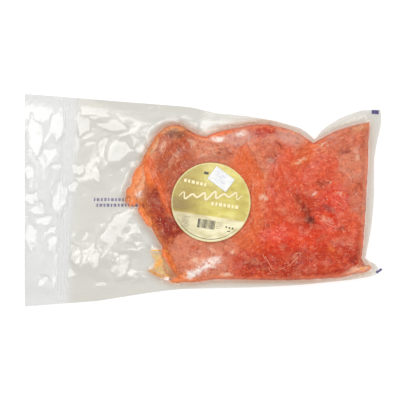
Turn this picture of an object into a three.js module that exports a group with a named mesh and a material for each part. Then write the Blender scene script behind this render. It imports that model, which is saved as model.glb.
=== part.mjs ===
// A one-pound pack of smoked salmon pieces in a clear vacuum pouch, lying flat with its label up.
// Millimetres, +Z up. X runs along the pouch from its empty header to its full end, Y across it.
// The origin is on the surface that the pack lies on, under the middle of the pouch.
import * as THREE from 'three';

// ---- driving dimensions -------------------------------------------------------------------
const POUCH_LENGTH = 347;          // flat pouch of 14 in, drawn in a little by the vacuum
const HALF_LENGTH = POUCH_LENGTH / 2;
const FILM = 1.2;                  // the two clinging sheets and the air between them
const THIN_SIDE = 10.5;            // salmon depth at the pointed end
const THICK_SIDE = 19;             // salmon depth at the full end
const DEEPENS_FROM = -30;          // the depth grows between these two places along X
const DEEPENS_TO = 100;
const SEAM_SHARE = 0.38;           // height of the side seam as a share of the depth
const EDGE_ROUND_SHARE = 0.75;     // width of the rounded side as a share of the depth
const DROOP_REACH = 34;            // distance in which the free film sinks to the surface
const LUMPS = [{ size: 27, height: 3 }, { size: 14, height: 1.4 }];   // salmon pieces under the film
const LUMP_FADE = 12;              // lumps start this far in from the salmon's edge

const LABEL = { x: 5.8, y: -2, radius: 38, thickness: 0.4 };
const LABEL_BED = { height: 12.9, slopeX: 0.045, slopeY: -0.008, dome: 0.0005, margin: 9, blend: 16 };
const STICKER = { x: 15.6, y: 20.2, length: 22, width: 15, turn: -37, thickness: 0.3 };
const CONTACT_GAP = 0.3;           // clearance between stacked papers and film

// Outlines of the film and of the salmon in it: the long edges as [x, y], the ends as [row, x].
// Row 0 is the salmon's lower edge and row 1 its upper edge; rows -1 and 2 are the film's edges.
const FILM_TOP = [
  [-173.5, 102.5], [-98, 96.4], [-24, 90.5], [-12, 89.2], [11, 83.8], [40, 80.9], [68, 76.1],
  [91.4, 69.4], [99, 64.5], [105.4, 57.8], [114.5, 69.4], [131.8, 79.9], [150, 86.2], [169, 87.3],
];
const FILM_BOTTOM = [
  [-173.5, -102.5], [-104, -97.2], [-52.6, -89], [-25, -85.5], [50, -83.7], [91.4, -81.4],
  [139, -76.6], [163, -72.7], [173.5, -65.4],
];
const FILM_END = [
  [-1, 173.5], [0, 168], [0.045, 163], [0.08, 153.5], [0.2, 157.5], [0.3, 160.1], [0.48, 162.5],
  [0.74, 162.5], [0.85, 165], [0.95, 168.5], [1, 169.5], [2, 169],
];
const SALMON_TOP = [
  [-27.6, 74.6], [-18, 70.8], [-9.4, 64.1], [1.2, 61.7], [12.7, 66.5], [45.4, 73.2], [60.7, 73.7],
  [76, 70.3], [91.4, 64.6], [105.4, 55], [110.6, 59], [124, 66.5], [139.4, 71.5], [158, 76],
];
const SALMON_BOTTOM = [[-22, -80], [-9.4, -79.9], [10, -76.6], [80, -77.5], [132, -75], [160, -67]];
const SALMON_START = [
  [0, -22], [0.07, -31], [0.19, -38], [0.29, -47.8], [0.47, -62], [0.56, -75], [0.66, -68.9],
  [0.8, -59], [0.93, -46.8], [0.98, -37.2], [1, -27.6],
];
const SALMON_END = [
  [0, 160], [0.045, 156], [0.08, 150.5], [0.13, 152], [0.24, 153.4], [0.74, 157.7], [0.9, 158],
  [1, 156],
];
const NARROWEST_MARGIN = 1.5;

// Folds that stand up in the film, from one end of the crest to the other.
const FOLDS = [
  { from: [-60, -9], to: [-112, -67], height: 6, width: 8 },      // long billow off the point
  { from: [-80, -48], to: [-94, -73], height: 3, width: 5 },
  { from: [-50, -52], to: [-80, -48], height: 3, width: 4 },
  { from: [-62, -65], to: [-72, -83], height: 3, width: 4 },
  { from: [-62, 66], to: [-84, 33], height: 5, width: 7 },        // leaf beside the upper lobe
  { from: [-125, 87], to: [-74, 72], height: 3, width: 7 },
  { from: [-106, 20], to: [-72, 56], height: 3.5, width: 7 },
  { from: [-136, -72], to: [-115, -52], height: 2.5, width: 7 },
  { from: [-160, 80], to: [-158, -10], height: 2, width: 9 },     // header of the pouch
  { from: [-146, 40], to: [-154, -85], height: 1.6, width: 8 },
  { from: [-35, 85], to: [-13, 52], height: 2, width: 4 },        // crease over the upper lobe
  { from: [-41, 42], to: [-38, -48], height: 2.6, width: 7 },     // rolled edge of a slice
  { from: [106, 54], to: [92, 26], height: -3.5, width: 8 },      // valley down from the notch
];

// Mesh density: steps between the places that the columns and the rows pass through.
const COLUMN_PLACES = [20, 98, 105.4, 113];        // between the salmon's start and its end
const COLUMN_STEPS = [11, 15, 13, 2, 2, 8, 2];
const MARGIN_ROWS = 3;
const SALMON_ROWS = 24;
const ROW_CROWDING = 0.55;         // how much closer the rows lie at the salmon's edges
const LABEL_RINGS = 4;
const LABEL_SIDES = 40;
const STICKER_STEPS = [5, 4];

// ---- small helpers ------------------------------------------------------------------------
const smooth = (from, to, value) => THREE.MathUtils.smoothstep(value, from, to);

// Straight interpolation through a list of [place, value].
function between(list, place) {
  const last = list.length - 1;
  let i = 1;
  while (i < last && list[i][0] < place) i += 1;
  const [a, b] = [list[i - 1], list[i]];
  const share = THREE.MathUtils.clamp((place - a[0]) / (b[0] - a[0]), 0, 1);
  return THREE.MathUtils.lerp(a[1], b[1], share);
}

// Height Y of a row at one place along the pouch.
function acrossPouch(x, row) {
  const [filmLow, filmHigh] = [between(FILM_BOTTOM, x), between(FILM_TOP, x)];
  const low = Math.max(between(SALMON_BOTTOM, x), filmLow + NARROWEST_MARGIN);
  const high = between(SALMON_TOP, x);
  return between([[-1, filmLow], [0, low], [1, high], [2, filmHigh]], row);
}

// The salmon's outline, anticlockwise from its lower left corner.
const endPoints = (list) => list.map(([row, x]) => [x, acrossPouch(x, row)]);
const salmonOutline = [
  ...SALMON_BOTTOM, ...endPoints(SALMON_END).slice(1, -1), ...[...SALMON_TOP].reverse(),
  ...endPoints(SALMON_START).slice(1, -1).reverse(),
];

// Distance from a point to a stretch, and where along the stretch it is nearest, 0 to 1.
function nearOnStretch(x, y, [ax, ay], [bx, by]) {
  const [dx, dy] = [bx - ax, by - ay];
  const along = THREE.MathUtils.clamp(((x - ax) * dx + (y - ay) * dy) / (dx * dx + dy * dy), 0, 1);
  return { along, distance: Math.hypot(x - ax - along * dx, y - ay - along * dy) };
}

// Depth inside the salmon's outline, negative outside it.
function depthInSalmon(x, y) {
  let inside = false;
  let nearest = Infinity;
  salmonOutline.forEach((a, i) => {
    const b = salmonOutline[(i + 1) % salmonOutline.length];
    nearest = Math.min(nearest, nearOnStretch(x, y, a, b).distance);
    const crosses = (a[1] > y) !== (b[1] > y);
    if (crosses && x < a[0] + ((y - a[1]) * (b[0] - a[0])) / (b[1] - a[1])) inside = !inside;
  });
  return inside ? nearest : -nearest;
}

// Repeatable random value from -1 to 1 at a whole-number grid place.
function gridValue(i, j) {
  const wave = Math.sin(i * 127.1 + j * 311.7) * 43758.5453;
  return 2 * (wave - Math.floor(wave)) - 1;
}

// Smooth lumps from the grid values.
function lumps(x, y, size) {
  const [gx, gy] = [x / size, y / size];
  const [i, j] = [Math.floor(gx), Math.floor(gy)];
  const [sx, sy] = [smooth(0, 1, gx - i), smooth(0, 1, gy - j)];
  const near = THREE.MathUtils.lerp(gridValue(i, j), gridValue(i + 1, j), sx);
  const far = THREE.MathUtils.lerp(gridValue(i, j + 1), gridValue(i + 1, j + 1), sx);
  return THREE.MathUtils.lerp(near, far, sy);
}

function foldHeight(x, y) {
  let height = 0;
  for (const fold of FOLDS) {
    const { along, distance } = nearOnStretch(x, y, fold.from, fold.to);
    const fade = 0.35 + 0.65 * Math.sin(Math.PI * along);
    height += fold.height * fade * Math.exp(-((distance / fold.width) ** 2));
  }
  return height;
}

// ---- the form of the pack -----------------------------------------------------------------
function salmonDepth(x) {
  return THIN_SIDE + (THICK_SIDE - THIN_SIDE) * smooth(DEEPENS_FROM, DEEPENS_TO, x);
}

// The smooth bed that the label is stuck on.
function labelBed(x, y) {
  const [dx, dy] = [x - LABEL.x, y - LABEL.y];
  const tilt = LABEL_BED.slopeX * dx + LABEL_BED.slopeY * dy;
  return LABEL_BED.height + tilt - LABEL_BED.dome * (dx * dx + dy * dy);
}

// Heights of the top and bottom faces of the sealed pack at one place.
function faces(x, y) {
  const depth = depthInSalmon(x, y);
  const thickness = salmonDepth(x);
  const seam = SEAM_SHARE * thickness;
  if (depth < 0) {
    const droop = 1 - smooth(0, DROOP_REACH, -depth);
    const lift = Math.max(0, foldHeight(x, y)) * smooth(0, 10, -depth);
    const bottom = (seam - FILM / 2) * droop + lift;
    return { top: bottom + FILM, bottom };
  }
  const inward = Math.min(1, depth / (EDGE_ROUND_SHARE * thickness));
  const rounding = Math.sqrt(1 - (1 - inward) ** 2);
  const lumpHeight = LUMPS.reduce((sum, lump) => sum + lump.height * lumps(x, y, lump.size), 0);
  const relief = (lumpHeight + foldHeight(x, y)) * smooth(0, LUMP_FADE, depth);
  const fromLabel = Math.hypot(x - LABEL.x, y - LABEL.y) - LABEL.radius - LABEL_BED.margin;
  const crown = THREE.MathUtils.lerp(
    labelBed(x, y), thickness + relief, smooth(0, LABEL_BED.blend, fromLabel));
  return {
    top: seam + FILM / 2 + (crown - seam - FILM / 2) * rounding,
    bottom: (seam - FILM / 2) * (1 - rounding),
  };
}

// ---- closed meshes from rows of points ----------------------------------------------------
// rows[j][i] = { x, y, top, bottom }: both faces are split alike and joined round the rim.
function slabGeometry(rows) {
  const [height, width] = [rows.length, rows[0].length];
  const positions = [];
  for (const face of ['top', 'bottom']) {
    for (const row of rows) {
      for (const point of row) positions.push(point.x, point.y, point[face]);
    }
  }
  const top = (j, i) => j * width + i;
  const bottom = (j, i) => height * width + top(j, i);
  const indices = [];
  for (let j = 0; j < height - 1; j += 1) {
    for (let i = 0; i < width - 1; i += 1) {
      const [a, b, c, d] = [[j, i], [j, i + 1], [j + 1, i + 1], [j + 1, i]];
      const halves = (i + j) % 2 ? [[a, b, c], [a, c, d]] : [[a, b, d], [b, c, d]];
      for (const [p, q, r] of halves) {
        indices.push(top(...p), top(...q), top(...r));
        indices.push(bottom(...p), bottom(...r), bottom(...q));
      }
    }
  }
  const rim = [];
  for (let i = 0; i < width - 1; i += 1) rim.push([0, i]);
  for (let j = 0; j < height - 1; j += 1) rim.push([j, width - 1]);
  for (let i = width - 1; i > 0; i -= 1) rim.push([height - 1, i]);
  for (let j = height - 1; j > 0; j -= 1) rim.push([j, 0]);
  rim.forEach((from, k) => {
    const to = rim[(k + 1) % rim.length];
    indices.push(bottom(...from), bottom(...to), top(...to));
    indices.push(bottom(...from), top(...to), top(...from));
  });
  return closedGeometry(positions, indices);
}

function closedGeometry(positions, indices) {
  const geometry = new THREE.BufferGeometry();
  geometry.setAttribute('position', new THREE.Float32BufferAttribute(positions, 3));
  geometry.setIndex(indices);
  geometry.computeVertexNormals();
  return geometry;
}

// ---- pouch --------------------------------------------------------------------------------
// Evenly spaced values from place to place, with a number of steps for each gap.
function stepped(places, steps) {
  const values = [];
  steps.forEach((count, k) => {
    for (let i = 0; i < count; i += 1) {
      values.push(THREE.MathUtils.lerp(places[k], places[k + 1], i / count));
    }
  });
  return [...values, places[places.length - 1]];
}

function rowsAcross() {
  return stepped([-1, 0, 1, 2], [MARGIN_ROWS, SALMON_ROWS, MARGIN_ROWS]).map((row) => {
    const crowds = row > 0 && row < 1;
    return crowds ? row - (ROW_CROWDING / (2 * Math.PI)) * Math.sin(2 * Math.PI * row) : row;
  });
}

function pouchGeometry() {
  const rows = rowsAcross().map((row) => {
    const places = [
      -HALF_LENGTH, between(SALMON_START, row), ...COLUMN_PLACES, between(SALMON_END, row),
      between(FILM_END, row),
    ];
    return stepped(places, COLUMN_STEPS).map((x) => {
      const y = acrossPouch(x, row);
      return { x, y, ...faces(x, y) };
    });
  });
  return slabGeometry(rows);
}

// ---- papers -------------------------------------------------------------------------------
function labelGeometry() {
  const underside = (x, y) => labelBed(x, y) + CONTACT_GAP;
  const positions = [];
  for (const lift of [LABEL.thickness, 0]) {
    positions.push(LABEL.x, LABEL.y, underside(LABEL.x, LABEL.y) + lift);
    for (let ring = 1; ring <= LABEL_RINGS; ring += 1) {
      const radius = (LABEL.radius * ring) / LABEL_RINGS;
      for (let side = 0; side < LABEL_SIDES; side += 1) {
        const angle = (2 * Math.PI * side) / LABEL_SIDES;
        const [x, y] = [LABEL.x + radius * Math.cos(angle), LABEL.y + radius * Math.sin(angle)];
        positions.push(x, y, underside(x, y) + lift);
      }
    }
  }
  const faceSize = 1 + LABEL_RINGS * LABEL_SIDES;
  const at = (ring, side) => (ring === 0 ? 0 : 1 + (ring - 1) * LABEL_SIDES + (side % LABEL_SIDES));
  const indices = [];
  const bothFaces = (a, b, c) => {
    indices.push(a, b, c);
    indices.push(faceSize + a, faceSize + c, faceSize + b);
  };
  for (let side = 0; side < LABEL_SIDES; side += 1) {
    bothFaces(0, at(1, side), at(1, side + 1));
    for (let ring = 1; ring < LABEL_RINGS; ring += 1) {
      bothFaces(at(ring, side), at(ring + 1, side), at(ring + 1, side + 1));
      bothFaces(at(ring, side), at(ring + 1, side + 1), at(ring, side + 1));
    }
    const [from, to] = [at(LABEL_RINGS, side), at(LABEL_RINGS, side + 1)];
    indices.push(faceSize + from, faceSize + to, to);
    indices.push(faceSize + from, to, from);
  }
  return closedGeometry(positions, indices);
}

function stickerGeometry() {
  const turn = THREE.MathUtils.degToRad(STICKER.turn);
  const [steps, lines] = STICKER_STEPS;
  const rows = [];
  for (let j = 0; j <= lines; j += 1) {
    const row = [];
    for (let i = 0; i <= steps; i += 1) {
      const [along, across] = [STICKER.length * (i / steps - 0.5), STICKER.width * (j / lines - 0.5)];
      const x = STICKER.x + along * Math.cos(turn) - across * Math.sin(turn);
      const y = STICKER.y + along * Math.sin(turn) + across * Math.cos(turn);
      const bottom = labelBed(x, y) + CONTACT_GAP + LABEL.thickness + CONTACT_GAP;
      row.push({ x, y, bottom, top: bottom + STICKER.thickness });
    }
    rows.push(row);
  }
  return slabGeometry(rows);
}

// ---- scene graph --------------------------------------------------------------------------
function addPiece(group, name, geometry, color, roughness) {
  const material = new THREE.MeshStandardMaterial({ color, roughness, metalness: 0 });
  const mesh = new THREE.Mesh(geometry, material);
  mesh.name = name;
  group.add(mesh);
}

const pack = new THREE.Group();
addPiece(pack, 'pouch', pouchGeometry(), 0xd2704f, 0.2);
addPiece(pack, 'round_label', labelGeometry(), 0xdccf9e, 0.45);
addPiece(pack, 'price_sticker', stickerGeometry(), 0xf1f0ee, 0.6);

export default pack;
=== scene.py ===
import math

import bmesh
import bpy
import numpy as np
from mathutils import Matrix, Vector, geometry, kdtree, noise
from mathutils.bvhtree import BVHTree


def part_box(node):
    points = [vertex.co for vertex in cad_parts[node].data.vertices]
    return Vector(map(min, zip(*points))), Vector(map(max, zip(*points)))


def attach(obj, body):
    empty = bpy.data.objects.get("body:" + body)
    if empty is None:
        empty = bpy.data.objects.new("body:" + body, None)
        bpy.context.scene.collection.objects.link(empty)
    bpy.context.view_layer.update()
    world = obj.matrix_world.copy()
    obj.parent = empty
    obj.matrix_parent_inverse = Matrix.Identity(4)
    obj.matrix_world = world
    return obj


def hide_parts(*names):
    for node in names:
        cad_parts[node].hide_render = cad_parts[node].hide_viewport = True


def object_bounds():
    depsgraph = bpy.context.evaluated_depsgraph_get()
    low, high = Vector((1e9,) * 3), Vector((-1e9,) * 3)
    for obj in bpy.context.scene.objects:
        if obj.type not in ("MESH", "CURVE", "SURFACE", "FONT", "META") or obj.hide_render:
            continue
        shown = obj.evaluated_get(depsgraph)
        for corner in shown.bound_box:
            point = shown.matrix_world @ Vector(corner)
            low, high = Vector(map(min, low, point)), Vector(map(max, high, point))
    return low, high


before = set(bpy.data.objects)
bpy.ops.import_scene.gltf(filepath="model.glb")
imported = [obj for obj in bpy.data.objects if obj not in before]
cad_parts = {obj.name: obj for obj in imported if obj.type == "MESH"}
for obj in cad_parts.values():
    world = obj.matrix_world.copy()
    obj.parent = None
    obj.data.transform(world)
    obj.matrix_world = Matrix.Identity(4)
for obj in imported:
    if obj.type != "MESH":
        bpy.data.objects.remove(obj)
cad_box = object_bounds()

# ---- salmon bed ---------------------------------------------------------------------------
# The fish in the pouch is a pound of odd slices and trimmings pressed together by the vacuum.
# What lies behind the pieces on top is one dense bed of orange-red flesh, out to the outline
# where the film closes round it.
MM = 0.001
BED_MIDDLE = (45 * MM, -3 * MM)
BED_SPOKES = 260
BED_RINGS = 56
THINNEST_BED = 2.6 * MM            # the bed ends where the pack gets thinner than this
BED_UNDER_FILM, BED_OFF_FLOOR = 2.4 * MM, 0.4 * MM
BED_END = 158.2 * MM               # the salmon's straight end
BED_LUMPS, LUMP_SIZE = 0.9 * MM, 9 * MM
LEAST_REACH, REACH_STEP = 30 * MM, 0.5 * MM
RINGS_CROWD = 1.5                  # how much the rings crowd towards the outline
THINNEST_SLICE = 0.1 * MM

# Colours as they look through the film, which adds a little grey to what lies under it.
FLESH = {
    "coral": (216, 94, 71), "scarlet": (221, 76, 54), "brick": (195, 74, 55),
    "red": (188, 71, 51), "rust": (157, 64, 40), "rose": (206, 118, 94), "blush": (216, 138, 112),
    "lilac": (215, 157, 141), "amber": (223, 114, 75), "orange": (238, 128, 72),
    "apricot": (242, 160, 112), "peach": (247, 184, 144), "ochre": (242, 194, 112),
    "sand": (212, 158, 120), "sienna": (192, 112, 76), "cinnamon": (187, 100, 75),
    "fawn": (205, 132, 103), "umber": (140, 88, 70), "plum": (150, 66, 56), "bruise": (98, 44, 42),
    # The two edge colours that close the list are painted light: the flesh's edge, made lighter to make up
    # for the shade on the bed's steep side.
    "cream": (244, 208, 180), "milk": (251, 249, 243), "lit_edge_tint": (246, 148, 108),
    "lit_edge_tint_left": (240, 148, 90),
}
FILM_ADDS = 0.04
LIGHT_SHARE = 0.97

# Places where the flesh is dark with old blood, or pale with fat or air under the film. Some are
# painted light: the plum and rust ones along the crease left of the middle are partly its painted
# shade, the cream and milk ones partly painted highlights, glare off the film, and the lilac ones at
# the upper right partly the film's haze, a painted sheen. Each: middle x, y, half length, half width
# in mm, turn in degrees, colour and strength.
STAINS = [
    # The plum and rust stains at x -55 to -42 are partly painted shade, in the crease there.
    (-28.6, 63.6, 10.5, 4.2, -6, "umber", 0.9), (-46.8, 7.9, 5.5, 3.4, -60, "plum", 0.95),
    (-55.4, -13.2, 4.5, 3, -50, "plum", 0.75), (-42.5, -20, 25, 6, -70, "rust", 0.9),
    (72.7, 51.6, 4.2, 1.8, -50, "bruise", 0.85), (63.6, 36.7, 5.5, 4.4, 20, "plum", 0.5),
    (89, 0, 6, 3, -58, "plum", 0.7), (96.6, -11.5, 12, 3.6, -58, "plum", 0.8),
    (101, -19, 6, 3.4, -20, "bruise", 0.75), (118.3, -8.4, 6.5, 3.4, -30, "plum", 0.75),
    (129.8, -27.1, 5.5, 2.4, -10, "bruise", 0.5), (133.7, 47.3, 6.5, 2.7, 10, "plum", 0.7),
    (110.6, 15.6, 6, 3.4, -14, "plum", 0.6), (77, -45.8, 5, 4.3, 0, "red", 0.8),
    (60.7, -23.8, 3.2, 2, 50, "bruise", 0.6), (56.9, -65, 4.8, 2.9, 20, "plum", 0.65),
    (146.2, 10.8, 6.7, 4.2, 70, "plum", 0.45), (141.4, -56.4, 4.4, 3.4, 50, "plum", 0.65),
    (147.1, -49.7, 4.8, 2.6, 70, "plum", 0.55), (16.6, 43.4, 6, 4.4, -10, "plum", 0.4),
    (45.4, -60.2, 6.7, 4.8, 0, "plum", 0.6), (-20, 20, 4, 14, 20, "red", 0.35),
    # The cream and milk stains from here on are partly painted highlights: glare off the film.
    (56.9, 2.6, 4.8, 2.5, 6, "cream", 1.0), (12.2, 58.8, 6.4, 3.2, 4, "milk", 1.0),
    (4, -61, 14, 5, 28, "milk", 1.0), (-11, -70, 8, 4, 32, "milk", 0.95),
    (-9.4, -58.3, 5, 3.4, -60, "cream", 0.75), (26.2, -49.7, 4.2, 2.3, 34, "cream", 0.8),
    (20.4, -71.8, 5.5, 1.6, 8, "cream", 0.8), (104.7, 6.2, 2.7, 1.2, 4, "milk", 1.0),
    (120.8, 17, 1.2, 1.3, 0, "milk", 1.0), (128.7, 7.4, 2.6, 1.3, 30, "cream", 0.7),
    (90.5, 37.7, 5.8, 1.7, 28, "cream", 0.8), (112.6, 53, 4.8, 1.3, 0, "cream", 0.8),
    (34.8, 63.6, 5.6, 2.4, 20, "milk", 0.75), (88.6, 63.6, 7.7, 3.4, -30, "cream", 0.5),
    (115.4, -18, 8.4, 2.6, -30, "cream", 0.3), (145.2, 43, 5, 1.5, -75, "cream", 0.55),
    (40.6, -12.2, 7.7, 1.9, 80, "cream", 0.3), (141.4, -67, 7.7, 1.5, 24, "cream", 0.8),
    (-40.1, 52.1, 7, 2.3, 60, "cream", 0.6), (-63.1, 5, 3.4, 2, 40, "milk", 0.8),
    (-30, 42, 9, 1.6, 62, "cream", 0.35), (-12, 56, 7, 1.7, -30, "cream", 0.45),
    (22, 47, 6, 1.6, -55, "plum", 0.6), (14, 38.5, 6, 1.5, 15, "plum", 0.55),
    (3.5, 50, 5, 2.2, -15, "cream", 0.45), (-2, 43, 5, 1.8, 30, "cream", 0.4),
    (-10, -46, 5, 2.4, 20, "red", 0.55), (20, -50, 6, 2, 60, "red", 0.5),
    (6, -47, 5, 1.6, -30, "cream", 0.45), (124, 62, 8, 2.6, 25, "lilac", 0.6),
    (146, 49, 5, 2, 60, "lilac", 0.5), (70, 55, 7, 1.8, -50, "plum", 0.65),
    (31, 50, 14, 1.6, 68, "lilac", 0.55), (58, 22, 9, 1.5, 70, "peach", 0.4),
    (112, -36, 6, 2, 10, "umber", 0.4), (120, -47, 4, 2.4, 0, "orange", 0.6),
]
# The slices and chunks on top, each: middle x, y, half length, half width in mm, turn in
# degrees, how far below the film its crown lies, and its colour. Later ones lie over earlier.
SLICES = [
    (-68, 4, 10, 8, 20, 2.0, "sand"), (-63, 19, 18, 8, 72, 1.6, "peach"),
    (-54, 27, 16, 5, -82, 1.0, "orange"), (-57, -7, 13, 7, -68, 1.8, "sienna"),
    # The rust slices on this line and three lines down lie along the crease left of the middle; part of
    # their darkness is that crease's painted shade.
    (-49, -4, 26, 6, -70, 3.2, "rust"), (-36, -41, 31, 9, -63, 1.5, "sienna"),
    (-28, 46, 26, 18, -62, 0.9, "cinnamon"), (-33, 68, 15, 5, 8, 0.4, "sand"),
    (-51, 52, 13, 5, 58, 0.5, "sand"), (-43, 12, 34, 3, -69, 0.0, "amber"),
    (-30, -25, 13, 14, -70, 1.4, "rust"), (-7, -54, 30, 20, -18, 0.8, "blush"),
    (-17, -74, 9, 5, 30, 1.2, "apricot"), (16, 66, 14, 3.5, 16, 0.6, "orange"),
    (3, 51, 21, 11, -8, 1.2, "fawn"), (32, 60, 14, 8, 14, 0.4, "lilac"),
]
CHUNKS = [
    (55, 68, 13, 6, 6, 0.8, "brick"), (40, 39, 21, 9, -58, 1.7, "amber"),
    (59, 47, 11, 12, 30, 1.0, "rose"), (49, 44, 23, 4, -62, 0.7, "blush"),
    (37, -36, 12, 12, 30, 0.9, "amber"), (22, -44, 13, 10, -24, 1.2, "blush"),
    (50, -2, 32, 9, 89, 0.5, "amber"), (62, -7, 24, 7, 84, 1.0, "coral"),
    (74, 27, 18, 9, 82, 0.6, "coral"), (87, 18, 16, 7, 66, 0.9, "coral"),
    (80, -6, 18, 12, -30, 0.9, "coral"), (82, 63, 14, 7, -26, 0.5, "lilac"),
    (104, 49, 13, 6, 4, 0.5, "amber"), (94, 38, 14, 4, 26, 0.3, "amber"),
    (108, 19, 14, 11, -10, 1.0, "coral"), (118, 34, 13, 8, -22, 0.8, "coral"),
    # The paler rose, blush and sand chunks at the upper right are partly the film's haze there, a painted
    # sheen.
    (138, 58, 21, 12, 14, 0.5, "rose"), (148, 70, 10, 5, 22, 0.9, "sand"),
    (142, 33, 16, 13, -12, 0.9, "blush"), (146, 3, 12, 17, 4, 0.7, "rose"),
    (128, 1, 13, 10, -34, 0.6, "scarlet"), (96, -10, 11, 16, 34, 2.1, "red"),
    (116, -20, 13, 7, -28, 0.6, "scarlet"), (140, -25, 13, 12, 8, 0.9, "coral"),
    (68, -35, 17, 11, 6, 0.5, "scarlet"), (97, -39, 13, 9, 12, 0.6, "scarlet"),
    (113, -60, 21, 12, -4, 0.9, "brick"), (43, -59, 18, 14, -8, 1.1, "brick"),
    (138, -53, 13, 15, 16, 1.0, "brick"), (65, -64, 13, 9, 4, 0.8, "red"),
    (87, -56, 12, 6, 52, 0.2, "red"), (149, -68, 11, 4, 12, 0.6, "cream"),
]

EDGE_BAND = 6 * MM                 # the flesh is paler towards its thin edge, and is painted lighter still there against the shade on the bed's steep side
EDGE_PALE = 0.55
LIT_EDGE_GAIN = 1.4
STAIN_RAGGED = 3.2                 # mm by which a stain's edge wanders
STAIN_GRAIN = 4.5
STAIN_FADE = (0.45, 1.35)          # shares of its size between which a stain fades
EDGE_RAGGED = 0.6
LIT_EDGE_LEFT_TO_RIGHT = (-30, 10)           # x in mm between which the colour painted lighter at the edge changes
FIELD_FALL = 1.1                   # how quickly a piece's colour fades into its neighbours'
FIELD_REACH = 9                    # beyond this squared share of its size it no longer counts
NOISE_SEED = 11                    # without it the random vectors differ from run to run
noise.seed_set(NOISE_SEED)


def linear(colour):
    """A colour from 0 to 255 as light values, which can be added and mixed."""
    share = np.asarray(colour) / 255
    return np.where(share <= 0.04045, share / 12.92, ((share + 0.055) / 1.055) ** 2.4)


def smooth_step(low, high, value):
    """0 at low, 1 at high and past it, smooth between."""
    share = np.clip((value - low) / (high - low), 0, 1)
    return share * share * (3 - 2 * share)


def turned(x, y, angle, middle=(0, 0)):
    """Where a place comes to lie when it is turned and then moved to lie about a middle."""
    c, s = math.cos(angle), math.sin(angle)
    return middle[0] + x * c - y * s, middle[1] + x * s + y * c


def finder(places):
    """A search for the nearest of some places."""
    tree = kdtree.KDTree(len(places))
    for k, (x, y) in enumerate(places):
        tree.insert((x, y, 0), k)
    tree.balance()
    return tree


def tree_of(*things):
    """One search tree over the meshes of some objects."""
    points, faces = [], []
    for thing in things:
        first = len(points)
        points += [v.co.copy() for v in thing.data.vertices]
        faces += [[first + i for i in face.vertices] for face in thing.data.polygons]
    return BVHTree.FromPolygons(points, faces)


def height_at(tree, x, y, missing=None):
    """Height of the upper face at one place; depth_at gives that of the lower face."""
    hit = tree.ray_cast(Vector((x, y, 0.1)), Vector((0, 0, -1)))[0]
    return missing if hit is None else hit.z


def depth_at(tree, x, y, missing=None):
    hit = tree.ray_cast(Vector((x, y, -0.1)), Vector((0, 0, 1)))[0]
    return missing if hit is None else hit.z


def place_piece(name, mesh, body_slot):
    """An object in the scene that rides with the pack."""
    piece = bpy.data.objects.new(name, mesh)
    bpy.context.scene.collection.objects.link(piece)
    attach(piece, "root")
    return piece


def make_piece(name, points, faces, finish, body_slot):
    """A closed piece from its points and faces."""
    mesh = bpy.data.meshes.new(name)
    mesh.from_pydata([tuple(p) for p in points], [], [tuple(f) for f in faces])
    mesh.polygons.foreach_set("use_smooth", [True] * len(mesh.polygons))
    mesh.materials.append(finish)
    return place_piece(name, mesh, body_slot)


def flesh_tint(name):
    """A palette colour without what the film adds, as light values."""
    return np.maximum(0.002, (linear(FLESH[name]) - FILM_ADDS) / LIGHT_SHARE)


def flesh_field(spots):
    """The flesh's colour at places in mm, each blended from the pieces that lie round it."""
    total = np.full((len(spots), 1), 1e-6)
    colours = total * flesh_tint("coral")
    for x, y, half_length, half_width, turn, _, tint in SLICES + CHUNKS:
        along, across = turned(spots[:, 0] - x, spots[:, 1] - y, -math.radians(turn))
        far = (along / half_length) ** 2 + (across / half_width) ** 2
        weights = np.where(far < FIELD_REACH, np.exp(-FIELD_FALL * far), 0)[:, None]
        total, colours = total + weights, colours + weights * flesh_tint(tint)
    return colours / total


def flat_places(piece):
    """Where each point of a piece lies, in mm across and up."""
    return np.array([v.co for v in piece.data.vertices])[:, :2] / MM


def paint_flesh(piece, colours):
    """Stores the flesh colours, darkened and paled by the stains, and painted lighter towards the bed's
    outline against the shade on its steep side, as the piece's own attribute.
    """
    spots = flat_places(piece)
    wander = np.array([noise.noise_vector(Vector((x, y, 3.7)) / STAIN_GRAIN) for x, y in spots])
    spots = spots + STAIN_RAGGED * wander[:, :2]
    for x, y, half_length, half_width, turn, tint, strength in STAINS:
        along, across = turned(spots[:, 0] - x, spots[:, 1] - y, -math.radians(turn))
        far = np.hypot(along / half_length, across / half_width)
        share = (strength * (1 - smooth_step(*STAIN_FADE, far)))[:, None]
        colours = colours * (1 - share) + flesh_tint(tint) * share
    # Painted light: towards the bed's outline the flesh is lightened, where its steep side lies in shade.
    edge = EDGE_PALE * (1 - smooth_step(0, EDGE_BAND, inside_bed(piece)) + EDGE_RAGGED * wander[:, 0])
    edge = np.clip(edge, 0, 1)[:, None]
    right = smooth_step(*LIT_EDGE_LEFT_TO_RIGHT, spots[:, 0])[:, None]
    lit_edge_tint = flesh_tint("lit_edge_tint_left") * (1 - right) + flesh_tint("lit_edge_tint") * right
    colours = colours * (1 - edge) + LIT_EDGE_GAIN * lit_edge_tint * edge
    layer = piece.data.attributes.new("flesh", "FLOAT_COLOR", "POINT")
    layer.data.foreach_set("color", np.c_[colours, np.ones(len(colours))].ravel())


def add_shares(piece, name, shares):
    """Stores a number on each point, for the finish to read."""
    layer = piece.data.attributes.new(name, "FLOAT", "POINT")
    layer.data.foreach_set("value", np.array(shares, float))


class Nodes:
    """Short ways to add nodes to a tree, their inputs set to values or joined to other nodes."""

    family = ""

    def add(self, kind, inputs=(), **settings):
        node = self.tree.nodes.new(kind if "Node" in kind else self.family + kind)
        for name, value in settings.items():
            setattr(node, name, value)
        for key, value in dict(inputs).items():
            if isinstance(value, bpy.types.NodeSocket):
                self.tree.links.new(value, node.inputs[key])
            else:
                node.inputs[key].default_value = value
        return node

    def get(self, kind, inputs=(), key=0, **settings):
        return self.add(kind, inputs, **settings).outputs[key]


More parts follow.
